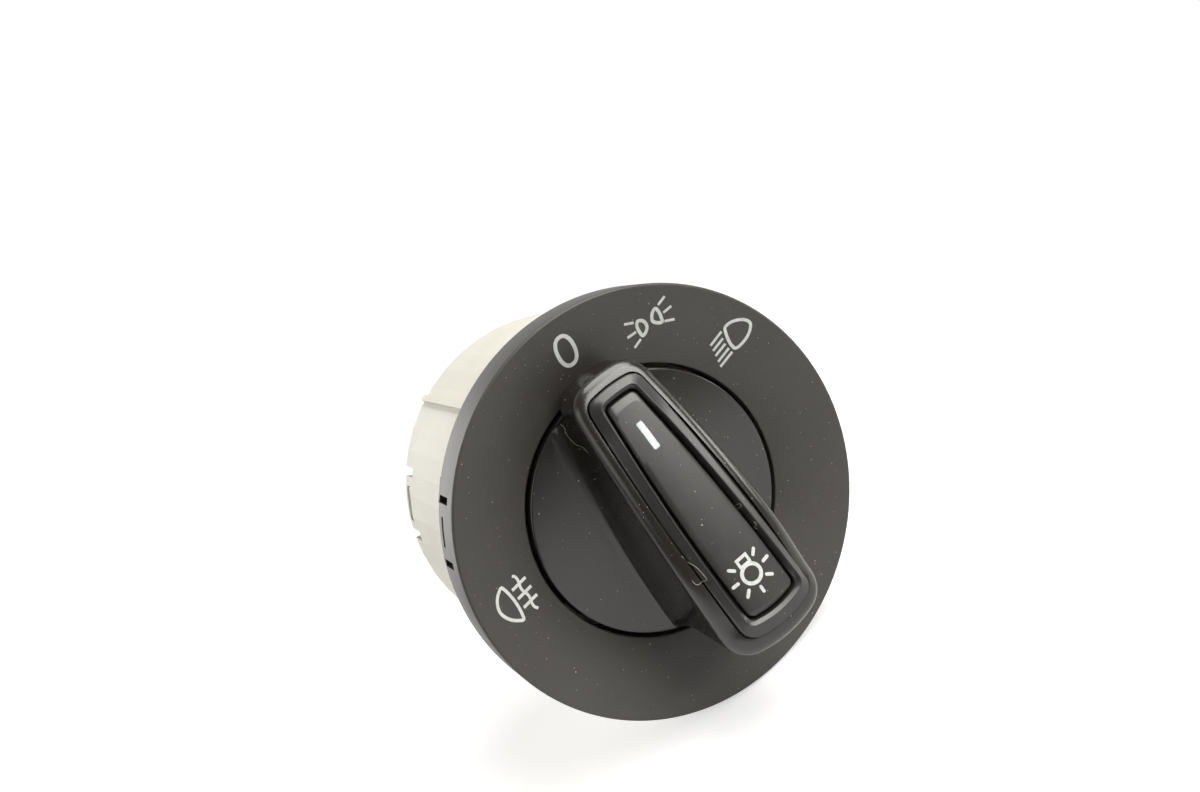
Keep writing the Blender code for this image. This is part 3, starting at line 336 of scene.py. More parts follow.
def block(size, centre, turn=0.0):
    # a box, turned about the dial's axis by so many degrees
    x, y, z = (v / 2.0 for v in size)
    ring = [(-x, -y), (x, -y), (x, y), (-x, y)]
    c, s = polar(1.0, turn)
    rings = []
    for level in (-z, z):
        rings.append([((centre[0] + a) * c - (centre[1] + b) * s,
                       (centre[0] + a) * s + (centre[1] + b) * c, centre[2] + level)
                      for a, b in ring])
    return lofted(rings)


def gathered(forms):
    whole = bmesh.new()
    for form in forms:
        part = bpy.data.meshes.new("part")
        form.to_mesh(part)
        form.free()
        whole.from_mesh(part)
        bpy.data.meshes.remove(part)
    return whole


def mesh_object(name, form):
    mesh = bpy.data.meshes.new(name)
    form.to_mesh(mesh)
    form.free()
    obj = bpy.data.objects.new(name, mesh)
    bpy.context.scene.collection.objects.link(obj)
    return obj


def moulded(name, form, added=(), removed=(), crease=30.0):
    # one moulding: the added forms are fused on, then the removed ones are cut away
    obj = mesh_object(name, form)
    tools = []
    for operation, forms in (("UNION", added), ("DIFFERENCE", removed)):
        for other in forms:
            tool = mesh_object("tool", other)
            tools.append(tool)
            mod = obj.modifiers.new(operation, "BOOLEAN")
            mod.operation = operation
            mod.solver = "EXACT"
            mod.object = tool
    if tools:
        depsgraph = bpy.context.evaluated_depsgraph_get()
        fused = bpy.data.meshes.new_from_object(obj.evaluated_get(depsgraph))
        obj.modifiers.clear()
        obj.data = fused
        for tool in tools:
            bpy.data.objects.remove(tool)
    obj.data.shade_smooth()
    obj.data.set_sharp_from_angle(angle=math.radians(crease))
    return obj


def srgb(*tone):
    return tuple(((v / 255.0 + 0.055) / 1.055) ** 2.4 for v in tone) + (1.0,)


DUST_TONE = (200, 196, 186)


def plastic(name, dark, light, roughness, grain, dust=0.0, fleck=0.0, specular=0.5,
            cell=0.26):
    """Moulded plastic: slow colour drift, eroded grain, rubbed roughness and settled dust."""
    look, shader, base, place = new_look(name)
    drift = base.noise(place, 85.0, 3.0)
    rub = base.noise(place, 420.0, 4.0)
    pores = base.noise(place, 1000.0 / cell, 2.0, Roughness=0.6)
    colour = base.mix(drift.step(0.2, 0.8) * 0.5 + pores * 0.5, srgb(*dark), srgb(*light))
    if dust:
        cells = base.node("ShaderNodeTexVoronoi", None, {"Vector": place, "Scale": 560.0})
        pick = Tone(base.tree, cells.socket.node.outputs["Color"])
        speck = (1.0 - cells.step(0.02, 0.06)) * pick.step(0.55, 0.6) * dust
        haze = rub.step(0.5, 0.8) * 0.012 * dust
        colour = base.mix(speck + haze, colour, srgb(*DUST_TONE))
    colour.into(shader, "Base Color")
    # both noises average a half, so the mean is the roughness asked for
    (rub * 0.08 + pores * 0.06 + (roughness - 0.07)).into(shader, "Roughness")
    (pores + fleck * rub).relief(shader, grain, 0.00003)
    shader.inputs["Specular IOR Level"].default_value = specular
    return look


def finished(obj, look, slot, body, *nodes):
    # nodes are the solids that the piece stands for
    obj.data.materials.clear()
    obj.data.materials.append(look)
    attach(obj, body)
    if nodes:
        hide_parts(*nodes)


bezel_profile = rounded([
    (BEZEL_INNER_R, face_level(BEZEL_INNER_R), 0.35),
    (BEZEL_R, BEZEL_DEPTH, 0.42),
    (BEZEL_R, 0.0, 0.12),
    (skirt_r, 0.0, 0.12),
    (skirt_r, face_level(skirt_r) - face_back, 0.3),
    (COLLAR_R, face_level(COLLAR_R) - face_back, 0.3),
    (COLLAR_R, COLLAR_END, 0.1),
    (BEZEL_INNER_R, COLLAR_END, 0.1),
])
cuts, shade_webs = [], []
for angle in TONGUE_ANGLES:
    for side in (-1.0, 1.0):
        cuts.append(block(*SLOT, angle + side * SLOT_TURN))
        # a black web behind each slot keeps it dark: painted shade, not a part of the switch
        shade_webs.append(block(*SHADE_WEB, angle + side * SHADE_WEB_TURN))
    cuts.append(block(*WINDOW, angle))
bezel = moulded("bezel_moulding", turned(bezel_profile), added=shade_webs, removed=[gathered(cuts)])
face_black = plastic("face_black", (52, 49, 45), (60, 57, 53), 0.5, 0.55, dust=0.6,
                     specular=0.75)
finished(bezel, face_black, "face_black", "body", "bezel")


# Printed symbols. The black paint is lasered away so that the white plastic shows: the
# "0", side lights, dipped beam and rear fog lamp signs. Each is a thin white inlay that
# lies on the dished face and takes its light from the guide behind it.
PRINT_SINK = 0.05
PRINT_LIFT = 0.035
RAY_WIDTH = 0.46
ZERO_CENTRE = (0.22, 31.75)
ZERO_REACH = (1.68, 2.7)
ZERO_ROUNDNESS = (0.86, 0.92)


def dial_level(x, y):
    return face_level(math.hypot(x, y))


def stroke(points, width, closed=False, round_ends=False, lift=PRINT_LIFT, level=dial_level):
    """A flat line of even width on a surface, with its own small thickness."""
    count = len(points)
    sides = []
    for i, point in enumerate(points):
        here = Vector(point)
        before = Vector(points[(i - 1) % count] if closed or i else points[i])
        after = Vector(points[(i + 1) % count] if closed or i < count - 1 else points[i])
        came, goes = here - before, after - here
        a = (came if came.length else goes).normalized()
        b = goes.normalized() if goes.length else a
        along = (a + b).normalized()
        across = Vector((-along.y, along.x))
        spread = 1.0 / max(across.dot(Vector((-b.y, b.x))), 0.5)
        sides.append((here, along, across * (width / 2.0 * spread)))
    rows = [(here, across) for here, along, across in sides]

    def end_rows(side, way, turns):
        here, along, across = side
        return [(here + along * (way * width / 2.0 * math.sin(math.radians(turn))),
                 across * math.cos(math.radians(turn))) for turn in turns]

    if round_ends:
        rows = (end_rows(sides[0], -1.0, (80, 50, 25)) + rows
                + end_rows(sides[-1], 1.0, (25, 50, 80)))
    rings = []
    for here, across in rows:
        ring = []
        for edge, offset in ((here + across, -PRINT_SINK), (here + across, lift),
                             (here - across, lift), (here - across, -PRINT_SINK)):
            ring.append((edge.x, edge.y, level(*edge) + offset))
        rings.append(ring)
    return lofted(rings, tube=closed)


def spline(points, closed, steps):
    # smooth line through the points
    count = len(points)
    spans = range(count if closed else count - 1)
    path = []
    for i in spans:
        near = [(i + k) % count if closed else min(max(i + k, 0), count - 1)
                for k in (-1, 0, 1, 2)]
        p = [Vector(points[n]) for n in near]
        for k in range(steps):
            t = k / steps
            path.append(tuple(0.5 * ((2 * p[1]) + (p[2] - p[0]) * t
                                     + (2 * p[0] - 5 * p[1] + 4 * p[2] - p[3]) * t * t
                                     + (3 * p[1] - p[0] - 3 * p[2] + p[3]) * t ** 3)))
    if not closed:
        path.append(tuple(points[-1]))
    return path


def white_print(name, tone):
    look, shader, base, place = new_look(name)
    mottle = base.noise(place, 1400.0, 3.0)
    colour = base.mix(mottle.step(0.3, 0.7), srgb(*[v - 14 for v in tone]), srgb(*tone))
    colour.into(shader, "Base Color")
    (mottle * 0.2 + 0.38).into(shader, "Roughness")
    mottle.relief(shader, 0.3, 0.00002)
    return look


symbol_white = white_print("symbol_white", (214, 216, 212))


def lens_stroke(points, width):
    return stroke(spline(points, True, 4), width, closed=True)


def rays(ends, width=RAY_WIDTH):
    return [stroke([a, b], width) for a, b in ends]


def printed(name, forms, body):
    finished(moulded(name, gathered(forms)), symbol_white, "lens_white", body)


zero_line = []
for k in range(48):
    c, s = polar(1.0, 7.5 * k)
    zero_line.append(
        (ZERO_CENTRE[0] + ZERO_REACH[0] * math.copysign(abs(c) ** ZERO_ROUNDNESS[0], c),
         ZERO_CENTRE[1] + ZERO_REACH[1] * math.copysign(abs(s) ** ZERO_ROUNDNESS[1], s)))
printed("symbol_zero", [stroke(zero_line, 0.7, closed=True)], "body")

left_lens = [(13.72, 28.35), (14.05, 28.5), (14.7, 28.1), (15.02, 27.35), (14.95, 26.6),
             (14.4, 25.95), (13.75, 25.7), (13.5, 26.0), (13.35, 27.0), (13.42, 27.85)]
right_lens = [(17.75, 28.55), (17.35, 28.55), (16.75, 28.1), (16.35, 27.3), (16.4, 26.75),
              (16.95, 26.15), (17.6, 25.8), (17.85, 26.0), (18.0, 27.0), (17.95, 28.0)]
side_rays = (((11.5, 29.45), (13.15, 28.7)), ((11.0, 27.02), (12.85, 27.02)),
             ((11.4, 24.7), (13.05, 25.4)), ((18.4, 28.85), (20.1, 29.5)),
             ((18.65, 27.1), (20.4, 27.3)), ((18.2, 25.65), (19.95, 24.9)))
printed("symbol_side_lights",
        [lens_stroke(left_lens, 0.6), lens_stroke(right_lens, 0.6)] + rays(side_rays), "body")

beam_lens = [(27.15, 18.1), (27.6, 18.4), (28.6, 18.45), (29.8, 18.1), (30.9, 17.4),
             (31.45, 16.6), (31.4, 15.9), (30.6, 14.9), (29.4, 14.15), (28.0, 13.75),
             (27.25, 13.8), (26.98, 14.2), (26.78, 15.2), (26.82, 16.5), (26.98, 17.6)]
beam_rays = (((23.55, 16.85), (26.35, 17.95)), ((23.55, 15.75), (26.05, 16.7)),
             ((23.5, 14.65), (26.0, 15.6)), ((23.45, 13.45), (26.2, 14.5)),
             ((23.4, 12.4), (26.45, 13.55)))
printed("symbol_dipped_beam", [lens_stroke(beam_lens, 0.56)] + rays(beam_rays), "body")

fog_lens = [(-31.35, 5.85), (-31.75, 5.75), (-32.75, 5.1), (-33.5, 4.1), (-33.85, 2.9),
            (-33.6, 1.6), (-32.9, 0.35), (-32.0, -0.55), (-31.3, -1.05), (-31.0, -0.7),
            (-30.72, 0.8), (-30.66, 2.4), (-30.8, 4.1), (-31.1, 5.5)]
fog_rays = (((-30.0, 4.15), (-26.75, 4.2)), ((-30.0, 2.3), (-26.75, 2.35)),
            ((-30.0, 0.45), (-26.75, 0.5)))
fog_wave = [(-28.65, 6.05), (-28.25, 5.6), (-28.15, 4.9), (-28.3, 4.2), (-28.5, 3.4),
            (-28.45, 2.7), (-28.2, 2.0), (-28.1, 1.4), (-28.2, 0.6), (-28.4, -0.1),
            (-28.35, -0.8), (-27.95, -1.45)]
printed("symbol_rear_fog", [lens_stroke(fog_lens, 0.55)] + rays(fog_rays, 0.55)
        + [stroke(spline(fog_wave, False, 4), 0.5, lift=0.045)], "body")


# Knob shell. One black moulding: a flat disc with a short skirt and the bar-shaped grip
# that rises from it. Its sides are drawn in under a rounded rim, its pointer end hangs
# over the bezel, and a seam and pocket in its top take the trim frame.
KNOB_R = 23.45
KNOB_LEVEL = 4.7
DISC_WALL = 1.6
DISC_END = -1.5
DISC_BACK = 2.7
BOSS_R = 7.5
BOSS_END = -2.5
GRIP_LEVEL = 24.3
GRIP_SLOPE = 0.28
GRIP_POINTER_R = 27.5
PUSH_STROKE = 2.5
BEZEL_GAP = 0.3
POINTER_Y = 22.0
BULB_Y = -16.0
SHOULDER = 2.4
BULB_SHOULDER = 5.4
SEAM_TOP_Y = 2.0
SEAM_ARCH = 1.3           # how far the seam sinks over 17 mm toward the bulb end
POINTER_ARCH = 0.75       # and toward the pointer end
BULB_WALL_R = KNOB_R - 0.15
OVERHANG = face_level(GRIP_POINTER_R) + PUSH_STROKE + BEZEL_GAP
POCKET = 2.6
SEAT = 2.45               # the underside of what lies in the pocket


def outline(widths, pointer_r, bulb_r, pointer_corner, bulb_corner):
    """Outline of the grip: sides through three half-widths, ends as arcs about the axis."""
    at_pointer, at_axis, at_bulb = widths
    ends, corners, along = 10, 12, 28

    def side(y):
        a = at_pointer * y * (y - BULB_Y) / (POINTER_Y * (POINTER_Y - BULB_Y))
        b = at_axis * (y - POINTER_Y) * (y - BULB_Y) / (POINTER_Y * BULB_Y)
        c = at_bulb * y * (y - POINTER_Y) / (BULB_Y * (BULB_Y - POINTER_Y))
        return a + b + c

    def corner(radius, sign):
        # where the side meets the end's arc, closed in on step by step
        y = sign * radius
        for _ in range(20):
            y = sign * math.sqrt(max(radius ** 2 - side(y) ** 2, 0.01))
        return side(y), y

    def eased(start, middle, end):
        points = []
        for i in range(1, corners + 1):
            t = i / (corners + 1)
            k = [(1 - t) ** 2, 2 * t * (1 - t), t ** 2]
            points.append(tuple(k[0] * p + k[1] * q + k[2] * r
                                for p, q, r in zip(start, middle, end)))
        return points

    half = []
    cx, cy = corner(pointer_r, 1.0)
    stop = cx - pointer_corner
    for i in range(ends + 1):
        x = stop * i / ends
        half.append((x, math.sqrt(pointer_r ** 2 - x ** 2)))
    top_side = (side(cy - pointer_corner), cy - pointer_corner)
    half += eased(half[-1], (cx, cy), top_side)
    bx, by = corner(bulb_r, -1.0)
    low_side_y = by + bulb_corner
    for i in range(along + 1):
        y = top_side[1] + (low_side_y - top_side[1]) * i / along
        half.append((side(y), y))
    end = (bx - bulb_corner, -math.sqrt(bulb_r ** 2 - (bx - bulb_corner) ** 2))
    half += eased(half[-1], (bx, by), end)
    for i in range(ends + 1):
        x = end[0] * (1.0 - i / ends)
        half.append((x, -math.sqrt(bulb_r ** 2 - x ** 2)))
    return half + [(-x, y) for x, y in reversed(half[1:-1])]


def grip_plane(y):
    return GRIP_LEVEL - GRIP_SLOPE * y


def ramp(value, start, length):
    # 0 up to the start, 1 beyond the length, and a smooth rise between
    share = min(max((value - start) / length, 0.0), 1.0)
    return share * share * (3.0 - 2.0 * share)


def between(first, second, share):
    return [tuple(a + (b - a) * share for a, b in zip(p, q)) for p, q in zip(first, second)]


def held_inside(points, radius):
    shares = [min(radius / math.hypot(x, y), 1.0) for x, y in points]
    return [(x * k, y * k) for (x, y), k in zip(points, shares)]


def plane_ring(points, drop):
    return [(x, y, grip_plane(y) - drop) for x, y in points]


def shoulder_drop(y):
    return SHOULDER + (BULB_SHOULDER - SHOULDER) * ramp(-y, 5.0, 16.0)


def seam_drop(y):
    arch = POINTER_ARCH if y > SEAM_TOP_Y else SEAM_ARCH
    return arch * min(abs(y - SEAM_TOP_Y) / 17.0, 1.1) ** 2


def seam_ring(points, drop):
    return [(x, y, grip_plane(y) - drop - seam_drop(y)) for x, y in points]


seam = outline((5.85, 7.4, 7.35), 25.4, 20.45, 1.9, 2.0)
rim = outline((7.75, 9.68, 9.9), GRIP_POINTER_R, BULB_WALL_R + 0.7, 3.6, 3.6)
crease = outline((9.7, 11.2, 10.6), KNOB_R - 0.4, BULB_WALL_R, 0.5, 0.5)
flank = outline((7.05, 8.98, 9.2), 27.4, BULB_WALL_R, 3.2, 3.2)

# the foot of the flank: how far from crease to flank, and how high over the disc
FOOT = ((0.16, 0.08), (0.32, 0.25), (0.48, 0.58), (0.62, 1.0), (0.75, 1.55), (0.86, 2.2),
        (0.94, 2.7))
ROUNDING_STEPS = 14
grip_rings = [[(x, y, KNOB_LEVEL - 1.3) for x, y in crease],
              [(x, y, KNOB_LEVEL - 0.02) for x, y in crease]]
for share, rise in FOOT:
    held = held_inside(between(crease, flank, share), BULB_WALL_R)
    grip_rings.append([(x, y, KNOB_LEVEL + rise) for x, y in held])
grip_rings.append([(x, y, OVERHANG) for x, y in flank])
for share in (0.2, 0.4, 0.6, 0.8):
    grip_rings.append([(x, y, OVERHANG + (grip_plane(y) - shoulder_drop(y) - OVERHANG) * share)
                       for x, y in between(flank, rim, share * share)])
for step in range(ROUNDING_STEPS + 1):
    a = math.radians(90.0 * step / ROUNDING_STEPS)
    ring = between(rim, seam, (1.0 - math.cos(a)) * 0.985)
    rise = math.sin(a)
    grip_rings.append([(x, y, grip_plane(y) - shoulder_drop(y) * (1.0 - rise)
                        - seam_drop(y) * rise) for x, y in ring])
grip_rings.append(seam_ring(seam, 0.09))
grip_rings.append(seam_ring(seam, 0.3))
grip_rings.append(plane_ring(seam, POCKET))
grip = lofted(grip_rings)

disc_profile = rounded([
    (0.0, KNOB_LEVEL, 0.0), (KNOB_R, KNOB_LEVEL, 0.45), (KNOB_R, DISC_END, 0.1),
    (KNOB_R - DISC_WALL, DISC_END, 0.1), (KNOB_R - DISC_WALL, DISC_BACK, 0.3),
    (BOSS_R, DISC_BACK, 0.3), (BOSS_R, BOSS_END, 0.1), (0.0, BOSS_END, 0.0)], closed=False)
hollows = [block((7.3, 7.3, 12.65), (0.0, 0.0, 2.825)),     # the square shaft's socket
           block((9.0, 10.2, 12.0), (0.0, 15.1, 5.5)),      # the grip's hollows
           block((4.6, 7.0, 20.0), (-5.0, -13.5, 10.0)),
           block((4.6, 7.0, 20.0), (5.0, -13.5, 10.0))]
knob = moulded("knob_moulding", turned(disc_profile, closed=False),
               added=[grip], removed=[gathered(hollows)], crease=32.0)
knob_black = plastic("knob_black", (28, 24, 20), (34, 30, 26), 0.235, 0.26, dust=0.8,
                     specular=0.88, cell=0.22)
finished(knob, knob_black, "knob_black", "knob", "knob_shell")


# Grip trim frame. A separate satin black ring pressed into the grip's pocket. Its top is
# a low roof: it rises from the seam to a crest and falls steeply beside the insert.
seam_edge = outline((5.65, 7.2, 7.15), 25.2, 20.25, 1.8, 1.9)
crest = outline((3.95, 5.7, 6.05), 24.0, 18.05, 1.2, 1.35)
crest_inner = outline((3.7, 5.44, 5.79), 23.78, 17.82, 1.1, 1.25)
insert_wall = outline((3.25, 4.9, 5.05), 23.0, 17.3, 1.0, 1.2)
CREST_RISE = 0.54
CREST_SINK = 0.42
SEAM_STEP = 0.42
# share of the way from crest to insert, and the drop there at the sides and the bulb end
INNER_SLOPE = ((0.0, -0.49, -0.51), (0.12, -0.33, -0.47), (0.45, 0.05, -0.38),
               (0.8, 0.42, -0.28), (0.88, 0.5, -0.2), (1.0, 0.62, 0.62))


def crest_rise(y):
    # the crest sinks at the pointer end
    return CREST_RISE - CREST_SINK * ramp(y, 16.5, 5.5)


def outer_slope(share):
    # straight along the sides; at both ends a short wall and then an even slope
    ring = []
    for x, y in between(seam_edge, crest, share):
        low = -SEAM_STEP - seam_drop(y) * (0.15 if share > 0.03 else 1.0)
        ring.append((x, y, grip_plane(y) + low + (crest_rise(y) - low) * share))
    return ring


def inner_slope(share, side_drop, bulb_drop):
    # steep beside the insert, a gentle crescent at the bulb end
    ring = []
    for x, y in between(crest_inner, insert_wall, share):
        drop = side_drop + (bulb_drop - side_drop) * ramp(-y, 13.6, 2.6)
        ring.append((x, y, grip_plane(y) - max(drop, 0.05 - crest_rise(y))))
    return ring


trim_rings = [plane_ring(seam_edge, SEAT)]
trim_rings += [outer_slope(share) for share in (0.0, 0.05, 0.25, 0.5, 0.75, 0.95)]
for share, lift in ((0.0, 0.0), (0.3, 0.035), (0.6, 0.03)):
    trim_rings.append([(x, y, grip_plane(y) + crest_rise(y) + lift)
                       for x, y in between(crest, crest_inner, share)])
trim_rings += [inner_slope(*row) for row in INNER_SLOPE]
trim_rings.append(plane_ring(insert_wall, SEAT))
trim = moulded("grip_trim", lofted(trim_rings, tube=True), crease=50.0)
trim_black = plastic("trim_black", (28, 26, 23), (35, 32, 29), 0.32, 0.22, dust=0.5,
                     specular=0.85, cell=0.2)
finished(trim, trim_black, "trim_black", "knob", "grip_trim_frame")


# Grip insert. A tapered black plate that closes the top of the grip, slightly crowned
# across, with a broad bevel at the pointer end and a slot for the pointer.
insert_edge = outline((2.95, 4.6, 4.75), 22.7, 17.0, 0.9, 1.1)
insert_mid = outline((2.78, 4.43, 4.58), 22.4, 16.75, 0.9, 1.0)
insert_top = outline((2.5, 4.15, 4.3), 21.3, 15.95, 0.9, 0.9)
CROWN = 0.22
CROWN_REACH = 4.4
BEVEL_DROP = 0.1


def insert_crown(x):
    return CROWN * (1.0 - (x / CROWN_REACH) ** 2)


def insert_level(x, y):
    return grip_plane(y) + insert_crown(x)


insert_rings = [plane_ring(insert_edge, SEAT), plane_ring(insert_edge, 0.5)]
for share, drop in ((0.4, 0.26), (0.8, 0.14), (1.0, BEVEL_DROP)):
    insert_rings.append(plane_ring(between(insert_edge, insert_mid, share), drop))
for share in (0.5, 1.0):
    insert_rings.append([(x, y, grip_plane(y) + insert_crown(x) * share
                          - BEVEL_DROP * (1.0 - share))
                         for x, y in between(insert_mid, insert_top, share)])
for shrink in (0.8, 0.6, 0.4, 0.2, 0.02):
    insert_rings.append([(x * shrink, y, insert_level(x * shrink, y)) for x, y in insert_top])


def bar_outline(low, high, width, corner):
    half = width / 2.0
    points = []
    corners = ((half, high, 0), (-half, high, 90), (-half, low, 180), (half, low, 270))
    for x, y, start in corners:
        cx = x - math.copysign(corner, x)
        cy = y - (corner if y == high else -corner)
        points += [(cx + corner * math.cos(math.radians(start + 15 * i)),
                    cy + corner * math.sin(math.radians(start + 15 * i))) for i in range(7)]
    return points


slot_line = bar_outline(13.14, 18.26, 1.32, 0.36)
slot_form = lofted([plane_ring(slot_line, 3.6), plane_ring(slot_line, -1.0)])
insert = moulded("insert_plate", lofted(insert_rings), removed=[slot_form])
insert_black = plastic("insert_black", (31, 28, 25), (38, 35, 32), 0.36, 0.3, dust=0.8,
                       specular=0.9, cell=0.2)
finished(insert, insert_black, "knob_black", "knob", "grip_insert")


# Pointer. A bar of translucent white plastic that fills the insert's slot and stands a
# hair above its crown.
POINTER_LIFT = 0.05
lens_line = bar_outline(13.2, 18.2, 1.2, 0.3)
lens_inner = bar_outline(13.28, 18.12, 1.04, 0.24)
lens_rings = [plane_ring(lens_line, SEAT), plane_ring(lens_line, -CROWN),
              plane_ring(lens_inner, -CROWN - POINTER_LIFT)]
lens = moulded("pointer_bar", lofted(lens_rings))
lens_white = white_print("lens_white", (219, 223, 226))
finished(lens, lens_white, "lens_white", "knob", "pointer_lens")


# Lamp sign on the insert. White print: a round bulb with its square cap toward the
# pointer and seven short rays.
BULB_CENTRE = (-0.15, -10.9)
BULB_REACH = (1.68, 1.5)
bulb_line = [(BULB_CENTRE[0] + BULB_REACH[0] * math.cos(math.radians(a)),
              BULB_CENTRE[1] + BULB_REACH[1] * math.sin(math.radians(a)))
             for a in range(0, 360, 9)]
cap_line = [(-1.05, -9.35), (-1.03, -8.0), (0.93, -7.95), (0.9, -9.35)]
bulb_rays = (((-2.2, -8.95), (-2.95, -8.35)), ((1.95, -8.8), (2.65, -8.15)),
             ((-3.0, -10.85), (-4.0, -10.85)), ((2.7, -10.6), (3.75, -10.45)),
             ((-2.2, -12.65), (-3.0, -13.35)), ((1.8, -12.5), (2.6, -13.05)),
             ((-0.25, -13.4), (-0.27, -14.2)))
bulb_forms = [stroke(bulb_line, 0.62, closed=True, level=insert_level),
              stroke(cap_line, 0.5, level=insert_level, lift=0.04),
              stroke([(-1.15, -9.2), (1.0, -9.2)], 0.44, level=insert_level, lift=0.045)]
for a, b in bulb_rays:
    bulb_forms.append(stroke([a, b], 0.55, round_ends=True, level=insert_level))
printed("symbol_lamp", bulb_forms, "knob")


# Dust and lint. Loose pale specks lie all over the face and the knob, and a few longer
# lint fibres cling to the grip. Each rests on the surface that carries it.
DUST_SIZE = (0.035, 0.085)
DUST_COUNT = 330
DUST_REACH = 37.3
FIBRE_R = 0.03
FIBRE_SIDES = 5
# specks that stand out: where they are in the 1200 by 792 picture, and their radius
MARKED_SPECKS = ((578.6, 480.6, 0.16), (595.0, 479.0, 0.10), (702.0, 525.0, 0.14),
                 (565.0, 400.0, 0.11), (701.5, 519.5, 0.08), (640.0, 420.0, 0.07),
                 (712.0, 508.0, 0.07), (575.8, 672.0, 0.12), (574.0, 668.0, 0.08),
                 (579.5, 449.0, 0.09), (725.0, 463.0, 0.09), (706.0, 420.0, 0.09),
                 (757.0, 455.0, 0.08), (650.0, 644.0, 0.09), (617.5, 388.0, 0.12),
                 (528.0, 468.0, 0.09), (561.0, 379.0, 0.09), (563.0, 375.0, 0.07))
# the fibres' courses in the same picture
FIBRES = (((681.5, 556.0), (687.0, 561.5), (693.0, 565.0), (699.0, 569.5), (704.5, 576.0),
           (707.0, 580.0), (702.0, 581.5), (699.0, 584.5), (695.0, 584.0), (692.0, 580.0)),
          ((565.0, 432.0), (571.0, 440.0), (577.0, 445.0), (583.0, 447.5), (588.0, 453.0)),
          ((735.5, 505.5), (739.5, 503.5), (741.5, 506.0), (738.0, 508.5)),
          ((754.0, 521.5), (756.5, 524.0), (754.5, 527.5), (757.5, 528.5)),
          ((560.0, 424.0), (564.0, 427.0), (566.5, 434.0)))
dust_rng = random.Random(71)
carriers = {}
for carrier, rider in ((bezel, "body"), (knob, "knob"), (trim, "knob"), (insert, "knob")):
    bm = bmesh.new()
    bm.from_mesh(carrier.data)
    carriers[carrier.name] = (BVHTree.FromBMesh(bm), rider)
    bm.free()


def first_hit(start, way):
    """The nearest carrier along a ray: its body, the point and the normal there."""
    best = None
    for tree, rider in carriers.values():
        point, normal, _, reach = tree.ray_cast(start, way)
        if point is not None and (best is None or reach < best[3]):
            best = (rider, point, normal, reach)
    return best


def seen_at(px, py):
    """Where a point of the picture falls on the switch."""
    way = aim @ Vector(((px - PICTURE_WIDTH / 2.0) / PICTURE_WIDTH,
                        -(py - PICTURE_HEIGHT / 2.0) / PICTURE_WIDTH, -1.0))
    return first_hit(spot * MM, way.normalized())


def skinned(bm, rows):
    # rows of points become a closed skin with a face at each end
    count = len(rows[0])
    for low, high in zip(rows, rows[1:]):
        for k in range(count):
            j = (k + 1) % count
            bm.faces.new((low[k], low[j], high[j], high[k]))
    bm.faces.new(list(reversed(rows[0])))
    bm.faces.new(rows[-1])


def flake(bm, point, normal, radius):
    # a thin crumb of dust with an uneven outline, lying flat
    turn = normal.to_track_quat("Z", "Y").to_matrix()
    sides = dust_rng.randint(5, 7)
    rows = []
    for level, grow in ((-0.01, 0.9), (0.3, 1.0), (0.55, 0.5)):
        row = []
        for k in range(sides):
            a = 2.0 * math.pi * k / sides
            reach = radius * grow * dust_rng.uniform(0.65, 1.25)
            offset = turn @ Vector((reach * math.cos(a), reach * math.sin(a), level * radius))
            row.append(bm.verts.new(point + offset * MM))
        rows.append(row)
    skinned(bm, rows)


def fibre(bm, picture_points):
    # a curled lint fibre: a thin tube that follows the surface just above it
    path = []
    for px, py in spline(picture_points, False, 5):
        hit = seen_at(px, py)
        if hit:
            wave = 0.04 + 0.03 * math.sin(len(path) * 0.9)
            path.append(hit[1] + hit[2] * (wave * MM))
    rows = []
    for i, point in enumerate(path):
        along = (path[min(i + 1, len(path) - 1)] - path[max(i - 1, 0)]).normalized()
        turn = along.to_track_quat("Z", "Y").to_matrix()
        arms = [polar(FIBRE_R, 360.0 * k / FIBRE_SIDES) for k in range(FIBRE_SIDES)]
        rows.append([bm.verts.new(point + turn @ Vector((x, y, 0.0)) * MM) for x, y in arms])
    skinned(bm, rows)


dust_forms = {"body": bmesh.new(), "knob": bmesh.new()}
for _ in range(DUST_COUNT):
    reach = DUST_REACH * math.sqrt(dust_rng.random())
    x, y = polar(reach, dust_rng.uniform(0.0, 360.0))
    hit = first_hit(on_dial(x, y, 60.0), Vector((0.0, 1.0, 0.0)))
    if hit and hit[2].dot(Vector((0.0, -1.0, 0.0))) > 0.55:
        size = DUST_SIZE[0] + (DUST_SIZE[1] - DUST_SIZE[0]) * dust_rng.random() ** 2.5
        flake(dust_forms[hit[0]], hit[1], hit[2], size)
for px, py, size in MARKED_SPECKS:
    hit = seen_at(px, py)
    if hit:
        flake(dust_forms[hit[0]], hit[1], hit[2], size)
for course in FIBRES:
    fibre(dust_forms["knob"], course)
lint_white = white_print("lint_white", (206, 200, 188))
for rider, form in dust_forms.items():
    dust = moulded("dust_on_" + rider, form, crease=60.0)
    finished(dust, lint_white, "lens_white", rider)


# Housing and rear cover. Pale glass-filled nylon mouldings with a soft sheen: the barrel
# with its flange and guide ribs, and the cover that snaps in behind it with the
# connector's shroud.
def dressed(look, *nodes):
    # the solid's own shape is right, so it only takes its finish
    for name in nodes:
        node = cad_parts[name]
        node.data.materials.clear()
        node.data.materials.append(look)


pale_plastic = plastic("pale_plastic", (216, 212, 199), (228, 225, 213), 0.5, 0.35,
                       fleck=0.3, cell=0.4)
dressed(pale_plastic, "housing", "rear_cover")


# Release latches and fog slider. Black acetal: two spring-loaded wedges that hold the
# switch in the dash, and the slider that the pulled knob pushes onto its contact.
latch_black = plastic("latch_black", (40, 39, 37), (50, 49, 47), 0.45, 0.3, dust=0.4)
dressed(latch_black, "fog_slider", "release_latch_left", "release_latch_right")


